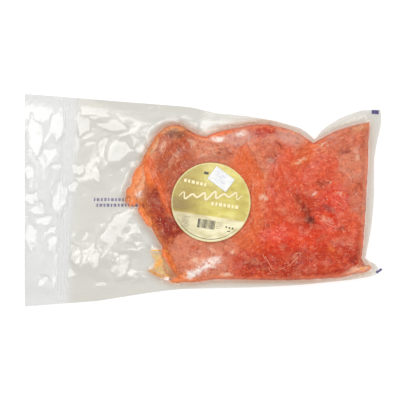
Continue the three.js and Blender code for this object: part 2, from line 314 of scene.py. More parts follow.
class Finish(Nodes):
    """A new material and short ways to add and join its nodes. Colours run from 0 to 255."""

    family = "ShaderNode"

    def __init__(self, name):
        self.material = bpy.data.materials.new(name)
        self.material.use_nodes = True
        self.tree = self.material.node_tree
        self.tree.nodes.clear()
        self.output = self.add("OutputMaterial")

    def place(self):
        return self.get("TexCoord", key="Object")

    def stored(self, name, key="Fac"):
        return self.get("Attribute", key=key, attribute_name=name)

    def noise(self, place, scale, detail, key="Fac", **more):
        return self.get("TexNoise", {"Vector": place, "Scale": scale, "Detail": detail, **more}, key)

    def math(self, operation, a, b=0.0):
        return self.get("Math", {0: a, 1: b}, operation=operation)

    def times(self, a, b):
        return self.math("MULTIPLY", a, b)

    def plus(self, a, b):
        return self.math("ADD", a, b)

    def ramp(self, value, low, high):
        """0 below low, 1 above high, smooth between."""
        return self.get("MapRange", {0: value, 1: low, 2: high}, interpolation_type="SMOOTHSTEP")

    def mix(self, share, a, b, way="MIX"):
        a, b = ((*linear(c), 1) if isinstance(c, tuple) and len(c) == 3 else c for c in (a, b))
        return self.get("Mix", {0: share, 6: a, 7: b}, 2, data_type="RGBA", blend_type=way)

    def lay(self, under, over, share, mask, low, high):
        """Another colour laid on where a mask runs from low to high, up to a share."""
        return self.mix(self.times(self.ramp(mask, low, high), share), under, over)

    def bump(self, height, strength, depth):
        return self.get("Bump", {"Height": height, "Strength": strength, "Distance": depth})

    def shader(self, kind, **inputs):
        """A shader; its inputs are named as on the node, with _ for a space."""
        return self.get(kind, {name.replace("_", " "): value for name, value in inputs.items()})

    def blend(self, share, a, b):
        return self.get("MixShader", {0: share, 1: a, 2: b})

    def done(self, shader):
        self.tree.links.new(shader, self.output.inputs[0])
        return self.material


def flesh_finish():
    """Moist smoked salmon: streaked orange and rose, thin pale membranes, flecks of fat."""
    f = Finish("salmon_flesh")
    place, tint = f.place(), f.stored("flesh", "Color")
    grain = f.get("UVMap", uv_map="grain")
    along = f.get("VectorMath", {0: grain, 1: (0.17, 0.4, 1)}, operation="MULTIPLY")
    streaks = f.noise(along, 1.0, 4, Roughness=0.6, Distortion=0.5)
    broad = f.noise(place, 95, 2)
    mottle = f.noise(place, 260, 4, Roughness=0.6, Distortion=0.8)
    fine = f.noise(place, 620, 3)
    warp = f.noise(place, 150, 2, "Color")
    bent = f.get("VectorMath", {0: warp, 1: (0.012, 0.012, 0.012)}, operation="MULTIPLY")
    bent = f.get("VectorMath", {0: bent, 1: place}, operation="ADD")
    cells = f.get("TexVoronoi", {"Vector": bent, "Scale": 90}, "Distance", feature="DISTANCE_TO_EDGE")
    membrane = f.times(f.ramp(cells, 0.05, 0.0), f.ramp(streaks, 0.52, 0.62))
    pale = f.mix(0.34, tint, (250, 196, 160))
    warm = f.mix(0.3, tint, (240, 112, 44))
    deep = f.mix(1.0, tint, (0.62, 0.38, 0.36, 1), "MULTIPLY")
    body = tint
    for over, share, mask, low, high in (
            (warm, 0.5, broad, 0.5, 0.64), (pale, 0.5, broad, 0.46, 0.32),
            (pale, 0.5, streaks, 0.53, 0.72), (deep, 0.5, streaks, 0.46, 0.3),
            (pale, 0.7, mottle, 0.56, 0.72), (deep, 0.8, mottle, 0.45, 0.3)):
        body = f.lay(body, over, share, mask, low, high)
    body = f.mix(f.times(membrane, 0.3), body, FLESH["cream"])
    body = f.lay(body, deep, 0.4, fine, 0.46, 0.34)
    body = f.lay(body, FLESH["cream"], 0.4, fine, 0.6, 0.74)
    fatty = f.ramp(f.get("SeparateColor", {0: tint}, "Blue"), 0.3, 0.6)
    torn = f.times(fatty, f.ramp(mottle, 0.49, 0.4))
    body = f.mix(f.times(torn, 0.5), body, FLESH["rose"])
    bump = f.bump(f.plus(f.times(mottle, 0.7), streaks), 0.6, 0.0008)
    return f.done(f.shader("BsdfPrincipled", Base_Color=body, Roughness=0.42, IOR=1.2, Normal=bump))


salmon_finish = flesh_finish()
packed = tree_of(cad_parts["pouch"])


def pack_depth(x, y):
    top = height_at(packed, x, y)
    return -1 if top is None else top - depth_at(packed, x, y)


def bed_reach(angle):
    """How far the salmon reaches from the middle of its bed in one direction."""
    reach = LEAST_REACH
    while pack_depth(*turned(reach, 0, angle, BED_MIDDLE)) > THINNEST_BED:
        reach += REACH_STEP
        if turned(reach, 0, angle, BED_MIDDLE)[0] > BED_END:
            break
    return reach - REACH_STEP


spoke_angles = [2 * math.pi * k / BED_SPOKES for k in range(BED_SPOKES)]
bed_outline = [bed_reach(angle) for angle in spoke_angles]
edge_finder = finder([turned(reach, 0, angle, BED_MIDDLE)
                      for angle, reach in zip(spoke_angles, bed_outline)])


def inside_bed(piece):
    """How far each point of a piece lies from the bed's outline."""
    return np.array([edge_finder.find((v.co.x, v.co.y, 0))[2] for v in piece.data.vertices])


def rings_and_spokes(spokes, rings, place):
    """Closed form: place(share, spoke, face) gives each point, face 0 on top and 1 below."""
    points, faces = [], []
    for face in (0, 1):
        points.append(place(0, 0, face))
        for ring in range(1, rings + 1):
            points += [place(ring / rings, k, face) for k in range(spokes)]
    size = 1 + spokes * rings
    for first, outward in ((0, 1), (size, -1)):
        for k in range(spokes):
            n = (k + 1) % spokes
            faces.append([first, first + 1 + k, first + 1 + n][::outward])
            for ring in range(rings - 1):
                a, b = first + 1 + ring * spokes, first + 1 + (ring + 1) * spokes
                faces.append([a + k, b + k, b + n, a + n][::outward])
    rim = 1 + (rings - 1) * spokes
    for k in range(spokes):
        n = (k + 1) % spokes
        faces.append([rim + k, size + rim + k, size + rim + n, rim + n])
    return points, faces


def bed_point(share, spoke, face):
    out = bed_outline[spoke] * (1 - (1 - share) ** RINGS_CROWD) if share else 0
    x, y = turned(out, 0, spoke_angles[spoke], BED_MIDDLE)
    top, bottom = height_at(packed, x, y, 0), depth_at(packed, x, y, 0)
    middle = (top + bottom) / 2
    lumps = BED_LUMPS * noise.fractal(Vector((x, y, 0)) / LUMP_SIZE, 1.0, 2.0, 3)
    if face == 0:
        return x, y, max(middle + THINNEST_SLICE, top - BED_UNDER_FILM + lumps)
    return x, y, min(middle - THINNEST_SLICE, bottom + BED_OFF_FLOOR)


bed = make_piece("salmon_bed", *rings_and_spokes(BED_SPOKES, BED_RINGS, bed_point),
                 salmon_finish, "pouch")
paint_flesh(bed, flesh_field(flat_places(bed)))

# ---- salmon pieces ------------------------------------------------------------------------
# Slices, strips and chunks cut from smoked sides, laid on each other and pressed flat. The ones
# at the pointed end are thin folded slices with orange edges; at the full end they are chunks.
PIECE_SPOKES = 48
PIECE_RINGS = 12
PIECE_HEIGHT = 4.5 * MM
RIM_SHARPNESS = 3
LEAST_COVER = 0.3 * MM
RIM_SHARE = 0.36                   # how far a piece's rim takes its own colour
RIM_FROM = (0.8, 0.95)
PIECE_RAGGED = [(0.24, 1.4), (0.16, 3.4), (0.07, 9)]       # share of the radius, and fineness
SEED_STEP = 11.3                   # keeps the noise of one piece apart from the next
PAST_BED = 0.3 * MM                # how far a piece may reach past the bed's outline
RELIEF_SIZE = 7 * MM
SHADE_SHARE, SHADE_SIZE = 0.1, 12 * MM
GRAIN_APART = 40                   # mm between the grain of one piece and the next


def add_slices(name, pieces, clamped, height, own_tint):
    """One mesh of a list of pieces, with its flesh colours and each point's place in the grain."""
    all_points, all_faces, colours, grain = [], [], [], []
    for order, (mid_x, mid_y, half_length, half_width, turn, sunk, tint) in enumerate(pieces):
        seed = Vector((0, 0, SEED_STEP * order + height / MM))
        rim_tint = flesh_tint("peach" if order % 3 else "plum")     # a pale membrane, or painted shade in the cleft between pieces
        shades = []

        def pebble_point(share, spoke, face):
            angle = 2 * math.pi * spoke / PIECE_SPOKES
            around = Vector((math.cos(angle), math.sin(angle), 0))
            ragged = 1
            for amount, detail in PIECE_RAGGED:
                ragged += amount * noise.noise(detail * around + seed)
            out = math.sin(math.pi / 2 * share) * ragged
            along, across = out * half_length * around.x, out * half_width * around.y
            x, y = turned(along, across, math.radians(turn), (mid_x, mid_y))
            x, y = x * MM - BED_MIDDLE[0], y * MM - BED_MIDDLE[1]
            reach, direction = math.hypot(x, y), math.atan2(y, x) % (2 * math.pi)
            spoke_at = int(direction / (2 * math.pi) * BED_SPOKES) % BED_SPOKES
            limit = min(bed_outline[spoke_at], bed_outline[(spoke_at + 1) % BED_SPOKES]) + PAST_BED
            if clamped and reach > limit:
                x, y = x * limit / reach, y * limit / reach
            x, y = x + BED_MIDDLE[0], y + BED_MIDDLE[1]
            while height_at(packed, x, y) is None:     # a loose end stays between the sheets
                x, y = x + 0.1 * (mid_x * MM - x), y + 0.1 * (mid_y * MM - y)
            film = height_at(packed, x, y, 0)
            floor = depth_at(packed, x, y, 0) + BED_OFF_FLOOR
            relief = noise.fractal(Vector((x, y, 0)) / RELIEF_SIZE + seed, 1.0, 2.0, 3)
            crown = film - (LEAST_COVER + sunk * MM) + (0.4 * relief - 0.3) * MM
            if face == 0:
                fall = 1 - (1 - share ** RIM_SHARPNESS) ** (1 / RIM_SHARPNESS)
                z = max(floor + 0.2 * MM, min(crown, film - LEAST_COVER) - height * fall)
            else:
                z = max(floor, film - height - sunk * MM - 0.6 * MM)
            shade = SHADE_SHARE * noise.noise(Vector((x, y, 5)) / SHADE_SIZE + seed)
            shades.append((1 + shade, RIM_SHARE * smooth_step(*RIM_FROM, share)))
            grain.append((along, across + GRAIN_APART * order))
            return x, y, z

        first = len(all_points)
        points, faces = rings_and_spokes(PIECE_SPOKES, PIECE_RINGS, pebble_point)
        shade, rim = np.array(shades).T[:, :, None]
        field = flesh_field(np.array(points)[:, :2] / MM)
        flesh = flesh_tint(tint) * own_tint + field * (1 - own_tint)
        colours.append(flesh * shade * (1 - rim) + rim_tint * rim)
        all_points += points
        all_faces += [[first + i for i in face] for face in faces]
    piece = make_piece(name, all_points, all_faces, salmon_finish, "pouch")
    paint_flesh(piece, np.concatenate(colours))
    grain_map = piece.data.uv_layers.new(name="grain")
    grain_map.data.foreach_set("uv", [n for loop in piece.data.loops
                                      for n in grain[loop.vertex_index]])
    return piece


slices = add_slices("salmon_slices", SLICES, True, PIECE_HEIGHT, own_tint=0.85)
chunks = add_slices("salmon_chunks", CHUNKS, True, PIECE_HEIGHT + 0.2 * MM, own_tint=0.5)

# ---- tatters and oil ----------------------------------------------------------------------
# Thin ragged ends of slices reach out past the pointed end, between the two sheets of film,
# and amber oil has gathered round them.
TATTERS = [
    (-70, 5, 10, 5.5, 82, 0.2, "apricot"), (-73, 2, 5, 3.4, 60, 0.1, "peach"),
    (-65, 22, 15, 4, 68, 0.3, "apricot"), (-57, -16, 12, 3.5, -58, 0.2, "apricot"),
    (-43, -48.5, 9, 0.8, -2, 0.3, "ochre"), (-35, -57, 13, 3.4, -62, 0.3, "orange"),
    (-47, -71, 8, 1.5, -28, 0.2, "ochre"), (-46, -61, 8, 0.8, 60, 0.2, "ochre"),
    # The milk-white tatter here is partly fat and partly a painted highlight: glare off the film over the
    # oil.
    (-36, -75.5, 8, 1.3, -8, 0.2, "milk"), (-38, -67, 7, 1.4, -62, 0.2, "ochre"),
    (-27, -77, 8, 2.6, -6, 0.1, "apricot"), (152, -66.5, 8, 3.4, 16, 0.3, "cream"),
    (153, -64.5, 6, 1.2, 20, 0.1, "ochre"),
]
TATTER_HEIGHT = 0.5 * MM
OIL_EDGE = [(-32, -46), (-43, -47), (-54, -48), (-53, -53), (-49, -58), (-52, -64), (-57, -69),
            (-51, -73), (-44, -77), (-34, -80), (-24, -82), (-18, -76), (-22, -64), (-28, -54)]
OIL_THICKNESS = 0.35 * MM
OIL_OFF_FLOOR = 0.3 * MM
OIL_RINGS = 10
OIL_FULL = 0.55                    # share of the way out from which the oil thins
tatters = add_slices("salmon_tatters", TATTERS, False, TATTER_HEIGHT, own_tint=0.9)


def oil_finish():
    """Oil and brine: clear and pale, amber where it is thick, gone towards its edge."""
    f = Finish("amber_oil")
    depth = f.stored("depth")
    amber = f.ramp(f.noise(f.place(), 110, 3), 0.46, 0.6)
    tint = f.mix(depth, (255, 255, 255), f.mix(amber, (253, 236, 194), (250, 192, 104)))
    clear = f.shader("BsdfTransparent", Color=tint)
    body = f.shader("BsdfPrincipled", Base_Color=tint, Roughness=0.15)
    share = f.times(depth, f.plus(0.25, f.times(amber, 0.45)))
    return f.done(f.blend(share, clear, body))


oil_middle = np.mean(OIL_EDGE, axis=0)
oil_spokes = 8 * len(OIL_EDGE)


def oil_point(share, spoke, face):
    here = spoke * len(OIL_EDGE) / oil_spokes
    k, part = int(here), here - int(here)
    a, b = np.array(OIL_EDGE[k]), np.array(OIL_EDGE[(k + 1) % len(OIL_EDGE)])
    edge = a + (b - a) * smooth_step(0, 1, part)
    x, y = (oil_middle + (edge - oil_middle) * share) * MM
    low = depth_at(packed, x, y, 0) + OIL_OFF_FLOOR
    return x, y, low + OIL_THICKNESS * (1 - share ** 3) * (1 - face)


oil = make_piece("oil_pocket", *rings_and_spokes(oil_spokes, OIL_RINGS, oil_point), oil_finish(), "pouch")
oil_shares = [0] + [ring / OIL_RINGS for ring in range(1, OIL_RINGS + 1) for _ in range(oil_spokes)]
add_shares(oil, "depth", [1 - smooth_step(OIL_FULL, 1, share) for share in oil_shares * 2])

# ---- fat strands --------------------------------------------------------------------------
# Thin white seams of fat and membrane that stand out where a slice is folded or cut.
STRANDS = [
    (0.3, (54, -41), (57.8, -53.5), (64.6, -65), (73.2, -68.9)),
    (0.3, (85, -51.5), (90, -50), (91.5, -53)), (0.25, (43, 58), (37.5, 50), (34, 40), (31.5, 30)),
    (0.35, (-37.5, 59), (-41, 53), (-43, 46)), (0.3, (-36, 52), (-39, 47), (-40, 42)),
    (0.3, (134.6, -67), (143, -64), (151, -59.3)), (0.25, (132, -71), (141, -70), (150, -67)),
    (0.3, (87, 38), (94, 41), (101, 44)), (0.25, (127.5, 8.7), (132.5, 7), (136, 2)),
    (0.3, (145.2, 48), (147, 41)), (0.25, (80, -24), (88, -22), (93, -27)),
    (0.25, (62, -20), (68, -19), (72, -17)), (0.25, (108, -19), (115, -22), (124, -26)),
    (0.25, (-20, 66), (-10, 60), (2, 57)), (0.25, (4, 45), (12, 48), (20, 44)),
    (0.3, (-22, -62), (-12, -66), (-2, -64)),
    (0.3, (66.5, -68.5), (74, -66), (82, -61), (88, -55), (91.4, -51.6)),
    (0.25, (53, -40), (55, -50), (58.8, -59.3)), (0.25, (-34, 50), (-30, 44), (-22, 38)),
]
STRAND_SIDES = 6


class Growth(Nodes):
    """A node tree with named inputs, and the plain mesh that it grows from a start mesh."""

    family = "GeometryNode"

    def __init__(self, name, **inputs):
        self.tree = bpy.data.node_groups.new(name, "GeometryNodeTree")
        sockets = self.tree.interface
        self.keys = {}
        for label, kind in {"Geometry": "Geometry", **inputs}.items():
            socket = sockets.new_socket(label, in_out="INPUT", socket_type="NodeSocket" + kind)
            self.keys[label] = socket.identifier
        sockets.new_socket("Geometry", in_out="OUTPUT", socket_type="NodeSocketGeometry")
        self.given = self.add("NodeGroupInput").outputs
        self.end = self.add("NodeGroupOutput")

    def field(self, name, kind="FLOAT"):
        return self.get("InputNamedAttribute", {"Name": name}, data_type=kind)

    def math(self, operation, a, b):
        return self.get("ShaderNodeMath", {0: a, 1: b}, operation=operation)

    def vector(self, operation, a, b):
        return self.get("ShaderNodeVectorMath", {0: a, 1: b}, operation=operation)

    def drape(self, geometry):
        """Lays what was made flat at height 0 on the carrier, seen along the Way."""
        x, y, z = self.add("ShaderNodeSeparateXYZ", {0: self.get("InputPosition")}).outputs
        way = self.given["Way"]
        start = self.math("MULTIPLY", way, -0.1)
        source = self.get("ShaderNodeCombineXYZ", {0: x, 1: y, 2: start})
        carrier = self.get("ObjectInfo", {"Object": self.given["Carrier"]}, "Geometry")
        hit = self.add("Raycast", {
            "Target Geometry": carrier, "Source Position": source, "Ray Length": 1.0,
            "Ray Direction": self.get("ShaderNodeCombineXYZ", {2: way})}).outputs
        beside = self.get("Proximity", {
            "Geometry": carrier, "Source Position": self.vector("MULTIPLY", source, (1, 1, 0))},
            "Position", target_element="FACES")
        spots = self.get("Switch", {"Switch": hit["Is Hit"], "False": beside,
                                    "True": hit["Hit Position"]}, input_type="VECTOR")
        height = self.get("ShaderNodeSeparateXYZ", {0: spots}, 2)
        lifted = self.math("ADD", height, self.given["Lift"])
        total = self.math("ADD", lifted, self.math("MULTIPLY", z, self.given["Flatness"]))
        place = self.get("ShaderNodeCombineXYZ", {0: x, 1: y, 2: total})
        return self.get("SetPosition", {"Geometry": geometry, "Position": place})

    def close(self, geometry):
        """The last nodes: everything made real, with its finish."""
        real = self.get("RealizeInstances", {"Geometry": geometry})
        done = self.get("SetMaterial", {"Geometry": real, "Material": self.given["Finish"]})
        self.tree.links.new(done, self.end.inputs[0])

    def grow(self, name, seedling, body_slot, **values):
        """Grows the tree on a start mesh and keeps the result as a plain piece."""
        holder = bpy.data.objects.new(name + "_start", seedling)
        bpy.context.scene.collection.objects.link(holder)
        modifier = holder.modifiers.new("growth", "NODES")
        modifier.node_group = self.tree
        for label, value in values.items():
            modifier[self.keys[label]] = value
        holder.update_tag()
        graph = bpy.context.evaluated_depsgraph_get()
        mesh = bpy.data.meshes.new_from_object(holder.evaluated_get(graph))
        bpy.data.objects.remove(holder)
        return place_piece(name, mesh, body_slot)


def start_mesh(name, points, edges=(), **fields):
    """Points and edges in metres at height 0, with numbers or vectors stored on each point."""
    mesh = bpy.data.meshes.new(name)
    mesh.from_pydata([(x, y, 0) for x, y in points], edges, [])
    for label, values in fields.items():
        values = np.array(values, float)
        kind, key = ("FLOAT", "value") if values.ndim == 1 else ("FLOAT_VECTOR", "vector")
        mesh.attributes.new(label, kind, "POINT").data.foreach_set(key, values.ravel())
    return mesh


CARRIER = {"Carrier": "Object", "Lift": "Float", "Way": "Float",
           "Flatness": "Float", "Finish": "Material"}

strand_growth = Growth("strand_growth", Step="Float", Sides="Int",
                       Blunt="Float", Wander="Float", **CARRIER)
g = strand_growth
line = g.get("MeshToCurve", {"Mesh": g.given[0]})
line = g.get("CurveSplineType", {"Curve": line}, spline_type="CATMULL_ROM")
line = g.get("ResampleCurve", {"Curve": line, "Length": g.given["Step"]}, mode="LENGTH")
wobble = g.get("ShaderNodeTexNoise", {"Scale": 160.0, "Detail": 3.0}, "Color")
shift = g.vector("SUBTRACT", wobble, (0.5, 0.5, 0.5))
shift = g.get("ShaderNodeVectorMath", {0: shift, 3: g.given["Wander"]}, operation="SCALE")
line = g.get("SetPosition",
             {"Geometry": line, "Offset": g.vector("MULTIPLY", shift, (1, 1, 0))})
run = g.math("MULTIPLY", g.get("SplineParameter", key="Factor"), math.pi)
swell = g.math("SINE", run, 0.0)
swell = g.get("ShaderNodeMath", {0: swell, 1: g.given["Blunt"]}, use_clamp=True)
ring = g.get("CurvePrimitiveCircle", {"Resolution": g.given["Sides"], "Radius": 1.0})
g.close(g.drape(g.get("CurveToMesh", {
    "Curve": line, "Profile Curve": ring, "Scale": g.math("MULTIPLY", swell, g.field("thick")),
    "Fill Caps": True})))


def lay_lines(name, lines, slot, carrier, finish, lift, flatness, blunt, step, wander=0.0):
    """A piece of round lines on a carrier, each a half thickness in mm and its points in mm."""
    points, edges, thick = [], [], []
    for half_thickness, *line in lines:
        edges += [(len(points) + k, len(points) + k + 1) for k in range(len(line) - 1)]
        points += [(x * MM, y * MM) for x, y in line]
        thick += [half_thickness * MM] * len(line)
    return strand_growth.grow(name, start_mesh(name + "_lines", points, edges, thick=thick), slot,
                              Carrier=carrier, Finish=finish, Lift=lift, Way=-1.0, Flatness=flatness,
                              Blunt=blunt, Step=step, Sides=STRAND_SIDES, Wander=wander)


def fat_finish():
    """Cold white fat: cream, a little waxy and translucent, stained by the flesh."""
    f = Finish("salmon_fat")
    stain = f.noise(f.place(), 300, 3)
    body = f.mix(f.ramp(stain, 0.38, 0.62), (226, 126, 92), (246, 190, 154))
    return f.done(f.shader("BsdfPrincipled", Base_Color=body, Roughness=0.42, IOR=1.44,
                           Normal=f.bump(stain, 0.4, 0.0005)))


both = bmesh.new()
for thing in (slices, chunks, tatters):
    both.from_mesh(thing.data)
cut_mesh = bpy.data.meshes.new("cut_faces")
both.to_mesh(cut_mesh)
both.free()
cut_faces = bpy.data.objects.new("cut_faces", cut_mesh)     # all the flesh, only to lay fat on
bpy.context.scene.collection.objects.link(cut_faces)

fat = fat_finish()
strands = lay_lines("fat_strands", STRANDS, "pouch", cut_faces, fat, lift=0.05 * MM, flatness=0.7,
                    blunt=0.12, step=0.8 * MM, wander=2.4 * MM)

# ---- fat flecks ---------------------------------------------------------------------------
# Crumbs of fat and flesh are scattered over the cut faces under the film.
FLECK_DENSITY = 2600               # per square metre of cut face
FLECK_SMALL = (0.35 * MM, 0.3 * MM, 0.15 * MM)
FLECK_LARGE = (0.95 * MM, 0.7 * MM, 0.25 * MM)

fleck_growth = Growth("fleck_growth", Density="Float", Small="Vector",
                      Large="Vector", Seed="Int", **CARRIER)
g = fleck_growth
ground = g.get("ObjectInfo", {"Object": g.given["Carrier"]}, "Geometry")
facing = g.get("ShaderNodeSeparateXYZ", {0: g.get("InputNormal")}, 2)
upward = g.get("FunctionNodeCompare", {0: facing, 1: 0.8}, operation="GREATER_THAN")
crumbs = g.add("DistributePointsOnFaces", {
    "Mesh": ground, "Selection": upward, "Density": g.given["Density"],
    "Seed": g.given["Seed"]}).outputs
crumb = g.get("MeshIcoSphere", {"Radius": 1.0, "Subdivisions": 1})
spin = g.get("FunctionNodeRandomValue", {0: (0, 0, 0), 1: (0, 0, 2 * math.pi), "Seed": 3},
             data_type="FLOAT_VECTOR")
spun = g.get("FunctionNodeRotateRotation", {
    "Rotation": crumbs["Rotation"], "Rotate By": g.get("FunctionNodeEulerToRotation", {0: spin})},
    rotation_space="LOCAL")
grown = g.get("FunctionNodeRandomValue", {0: g.given["Small"], 1: g.given["Large"], "Seed": 8},
              data_type="FLOAT_VECTOR")
crumbs = g.get("InstanceOnPoints", {"Points": crumbs["Points"], "Instance": crumb,
                                    "Rotation": spun, "Scale": grown})
g.close(g.get("SetShadeSmooth", {"Geometry": crumbs}))
flecks = fleck_growth.grow("fat_flecks", start_mesh("fleck_start", []), "pouch",
                           Carrier=cut_faces, Density=FLECK_DENSITY, Small=FLECK_SMALL,
                           Large=FLECK_LARGE, Seed=12, Finish=fat)
bpy.data.objects.remove(cut_faces)

# ---- film ---------------------------------------------------------------------------------
# The pouch is two sheets of clear nylon film welded on three sides. The vacuum has drawn it
# tight round the fish; past the fish the sheets cling, and lie crumpled in flat facets.
FILM_STEP = 1.36 * MM
FILM_ROWS = 0.866                  # rows are this share of a step apart, for even triangles
FILM_JITTER = 0.22
LEAST_OFF_RIM = 0.7 * FILM_STEP
FILM_OVER_FISH, FILM_OVER_PACK = 0.32 * MM, 0.3 * MM
FILM_SLACK = 1.4 * MM              # how far the film may dip between the pieces
FILM_LOWEST = 0.12 * MM
SHEET_GAP = 0.35 * MM
SIDE_AT = (-98 * MM, 96.4 * MM)    # a place on the film's upper side, towards which it narrows
FLANGE = 24 * MM                   # the film is flat at its rim, out to here where it is free
FLANGE_FLAT, FLANGE_RISE = 0.5, 0.28       # shares of its width where it lies flat and rises
FREE_SINK = 3.4 * MM               # the free sheets drop from the fish's seam to the floor,
SINK_REACH, FREE_REACH = 9 * MM, 34 * MM   # most of the way in the first stretch
STEEPEST = (0.7, 1.5)              # slopes that the film can take, off the fish and on it
SLOPE_ROUNDS = 14
HEADER_FREE = (10 * MM, 26 * MM)   # off a long side, where the header's sheets come free
BODY_FREE = (7.2 * MM, 19 * MM)    # and where those of the body do
SEAL_FREE = (-1 * MM, 5 * MM)      # off the end seal
END_FREE = 0.3                     # share of the crumples at the open end
END_SEAL_TOP = (-134.6 * MM, 100 * MM)
END_SEAL_BOTTOM = (-143.4 * MM, -100 * MM)
END_SEAL_WIDTH = 12 * MM
SEAL_HEIGHT = 1.3 * MM
ENVELOPE_STEP, GRID_MARGIN = 1.5 * MM, 6 * MM
SEAL_BLEND = 5 * MM                # the sheets come together over this beside the end seal
LABEL_BLEND = (2 * MM, 7 * MM)     # off the label, where the film begins to crumple
SINK_UP_TO = (-20 * MM, 20 * MM)   # x beyond which the free sheets no longer drop
# Coarse to fine crumples of the body and of the header: size across, size up and height.
CRUMPLES = [(30 * MM, 26 * MM, 2.4 * MM), (12 * MM, 10 * MM, 0.8 * MM), (6 * MM, 5 * MM, 0.25 * MM)]
HEADER_CRUMPLES = [(13 * MM, 30 * MM, 2.4 * MM), (8 * MM, 15 * MM, 0.9 * MM),
                   (5 * MM, 7 * MM, 0.2 * MM)]
CRUMPLE_SUNK = 0.3                 # share of a crumple that lies below the mean sheet
CRUMPLE_ON_FISH = 0.12             # share that is left where the film is tight on the fish
CRUMPLE_BELOW = 0.3                # share of the crumples that the lower sheet takes

# Where more juice than elsewhere has crept in, or less: x, y and reach in mm, and gain.
JUICE_POOLS = [(165, 10, 60, -0.6), (165, 85, 30, -0.5), (25, 75, 30, 2.2), (-40, 80, 30, 1.0),
               (60, -88, 40, 0.7)]
JUICE_SPREAD = 6                   # rounds of blurring

# Long flat facets that stand up towards the upper left: middle x, y, half length, half width
# in mm, turn in degrees, how far the middle bows out to the left of its run, and steepness.
FACETS = [
    (-164, 62, 24, 6.5, -82, 1, 10), (-141.8, 73, 17, 6.5, 86, 1, 10), (-151, 45, 12, 4, -12, 1, 10),
    (-169, 28, 12, 3, 88, 0, 10), (-142.8, 31, 8, 3.5, -6, 1, 11), (-167, 3, 9, 5, 20, 0, 10),
    (-141, 3, 19, 7.5, 88, 0, 10), (-169, -32, 20, 5, -84, 1, 10), (-147, -40, 13, 4, -84, 0, 10),
    (-155.8, -81, 13, 5.5, -75, 2, 11), (-161, -8, 10, 5, 28, 0, 10), (-154, -19, 10, 5, 24, 0, 10),
    (-148, -29, 8, 4, 30, 0, 10), (-104, -55, 13, 6, 68, 1, 10),
    (-115, 73, 13, 6.5, 80, 2, 10), (-90, 71, 18, 5.5, -12, 2, 11), (-111, 54.6, 10, 2, 12, 1, 11),
    (-97, 52, 14, 5, 70, 0, 10), (-82.6, 46, 14, 8.5, 52, 2, 10), (-64, 51.8, 13, 4.6, -56, 1, 11),
    (-122.6, 30, 8, 5.5, -20, 0, 10), (-104.2, 25.4, 11, 3, -80, 0, 11), (-127.4, 12, 8, 4, 80, 0, 10),
    (-84.7, -36, 38, 8, 56, 7, 11), (-81.8, -63, 14, 8.5, 78, 0, 11), (-65.8, -48.2, 16, 1.7, -3, 1, 14),
    (-67.4, -77.3, 13, 2.6, 60, 0, 12), (-125, -50, 12, 5, -70, 0, 11), (-118.6, -57.4, 8, 4, 50, 0, 11),
    (-114.5, -35, 7.5, 2.4, 60, 0, 12), (-15.5, 75, 17, 5, -50, 2, -5), (20.4, -79.5, 6, 2.5, -10, 0, 13),
    (-128, -72, 6, 3.5, 20, 1, 11), (-100, -82, 8, 2, -8, 1, 12),
]
FACET_FACES = math.radians(112)    # the way the facets look
FACET_EDGE = 1.3 * MM              # the blend from a facet into the sheet round it
FACET_STATIONS = (-1, -0.5, 0, 0.5, 1)     # places along a facet where its crest is measured
FACET_TAPER = 1.7                  # a facet is as wide as it gets over its middle, then pointed
FACET_RAGGED, FACET_RAGGED_SIZE = 3.4 * MM, 9 * MM
FACET_WIDER = 0.9                  # mm lost to the blend into the sheet on either side
FACET_RAISED = 0.7                 # share of what the facet would otherwise cut off a fold
FACET_CLEAR = 0.7                  # mm that a facet's lower side stays off the floor
FACET_LEAN = 12                    # mm over which a facet also falls along its length
HEADER_FROM = (18 * MM, 6 * MM)    # right of the end seal, where the header's whiter film ends
LOOSE_FROM = (5 * MM, 12 * MM)     # off the rim, where the film is loose and shines softly
END_LOOSE = 30 * MM                # at the open end it is loose right up to the rim
CREASE_ANGLE = math.radians(9)     # a fold in the free film looks sharp from here
FACET_SMOOTH = 0.85                # how far the crumples are stretched out on a facet
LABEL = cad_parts["round_label"]
label_low, label_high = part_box("round_label")
label_middle = (np.array(label_low) + np.array(label_high))[:2] / 2
label_radius = (label_high[0] - label_low[0]) / 2

film_low, film_high = map(np.array, cad_box)


def crumple_net(step_x, step_y, seed):
    """A net of flat facets with random corners, from 0 to 1 high."""
    rng = np.random.default_rng(seed)
    columns = int((film_high[0] - film_low[0]) / step_x) + 5
    rows = int((film_high[1] - film_low[1]) / step_y) + 5
    points = []
    for j in range(rows):
        for i in range(columns):
            shift = (rng.random(2) - 0.5) * 0.8
            points.append((film_low[0] + (i - 2 + shift[0] + 0.5 * (j % 2)) * step_x,
                           film_low[1] + (j - 2 + shift[1]) * step_y, rng.random()))
    faces = []
    for j in range(rows - 1):
        for i in range(columns - 1):
            a, b = j * columns + i, (j + 1) * columns + i
            if (j % 2) != (rng.random() < 0.25):
                faces += [(a, a + 1, b + 1), (a, b + 1, b)]
            else:
                faces += [(a, a + 1, b), (a + 1, b + 1, b)]
    return BVHTree.FromPolygons([Vector(p) for p in points], faces)


def net_height(net, x, y):
    hit = net.ray_cast(Vector((x, y, 2)), Vector((0, 0, -1)))[0]
    return 0.5 if hit is None else hit.z


body_nets = [(crumple_net(sx, sy, 41 + k), high) for k, (sx, sy, high) in enumerate(CRUMPLES)]
header_nets = [(crumple_net(sx, sy, 71 + k), high)
               for k, (sx, sy, high) in enumerate(HEADER_CRUMPLES)]


def blurred(field, times):
    for _ in range(times):
        field = (field + np.roll(field, 1, 0) + np.roll(field, -1, 0)) / 3
        field = (field + np.roll(field, 1, 1) + np.roll(field, -1, 1)) / 3
    return field


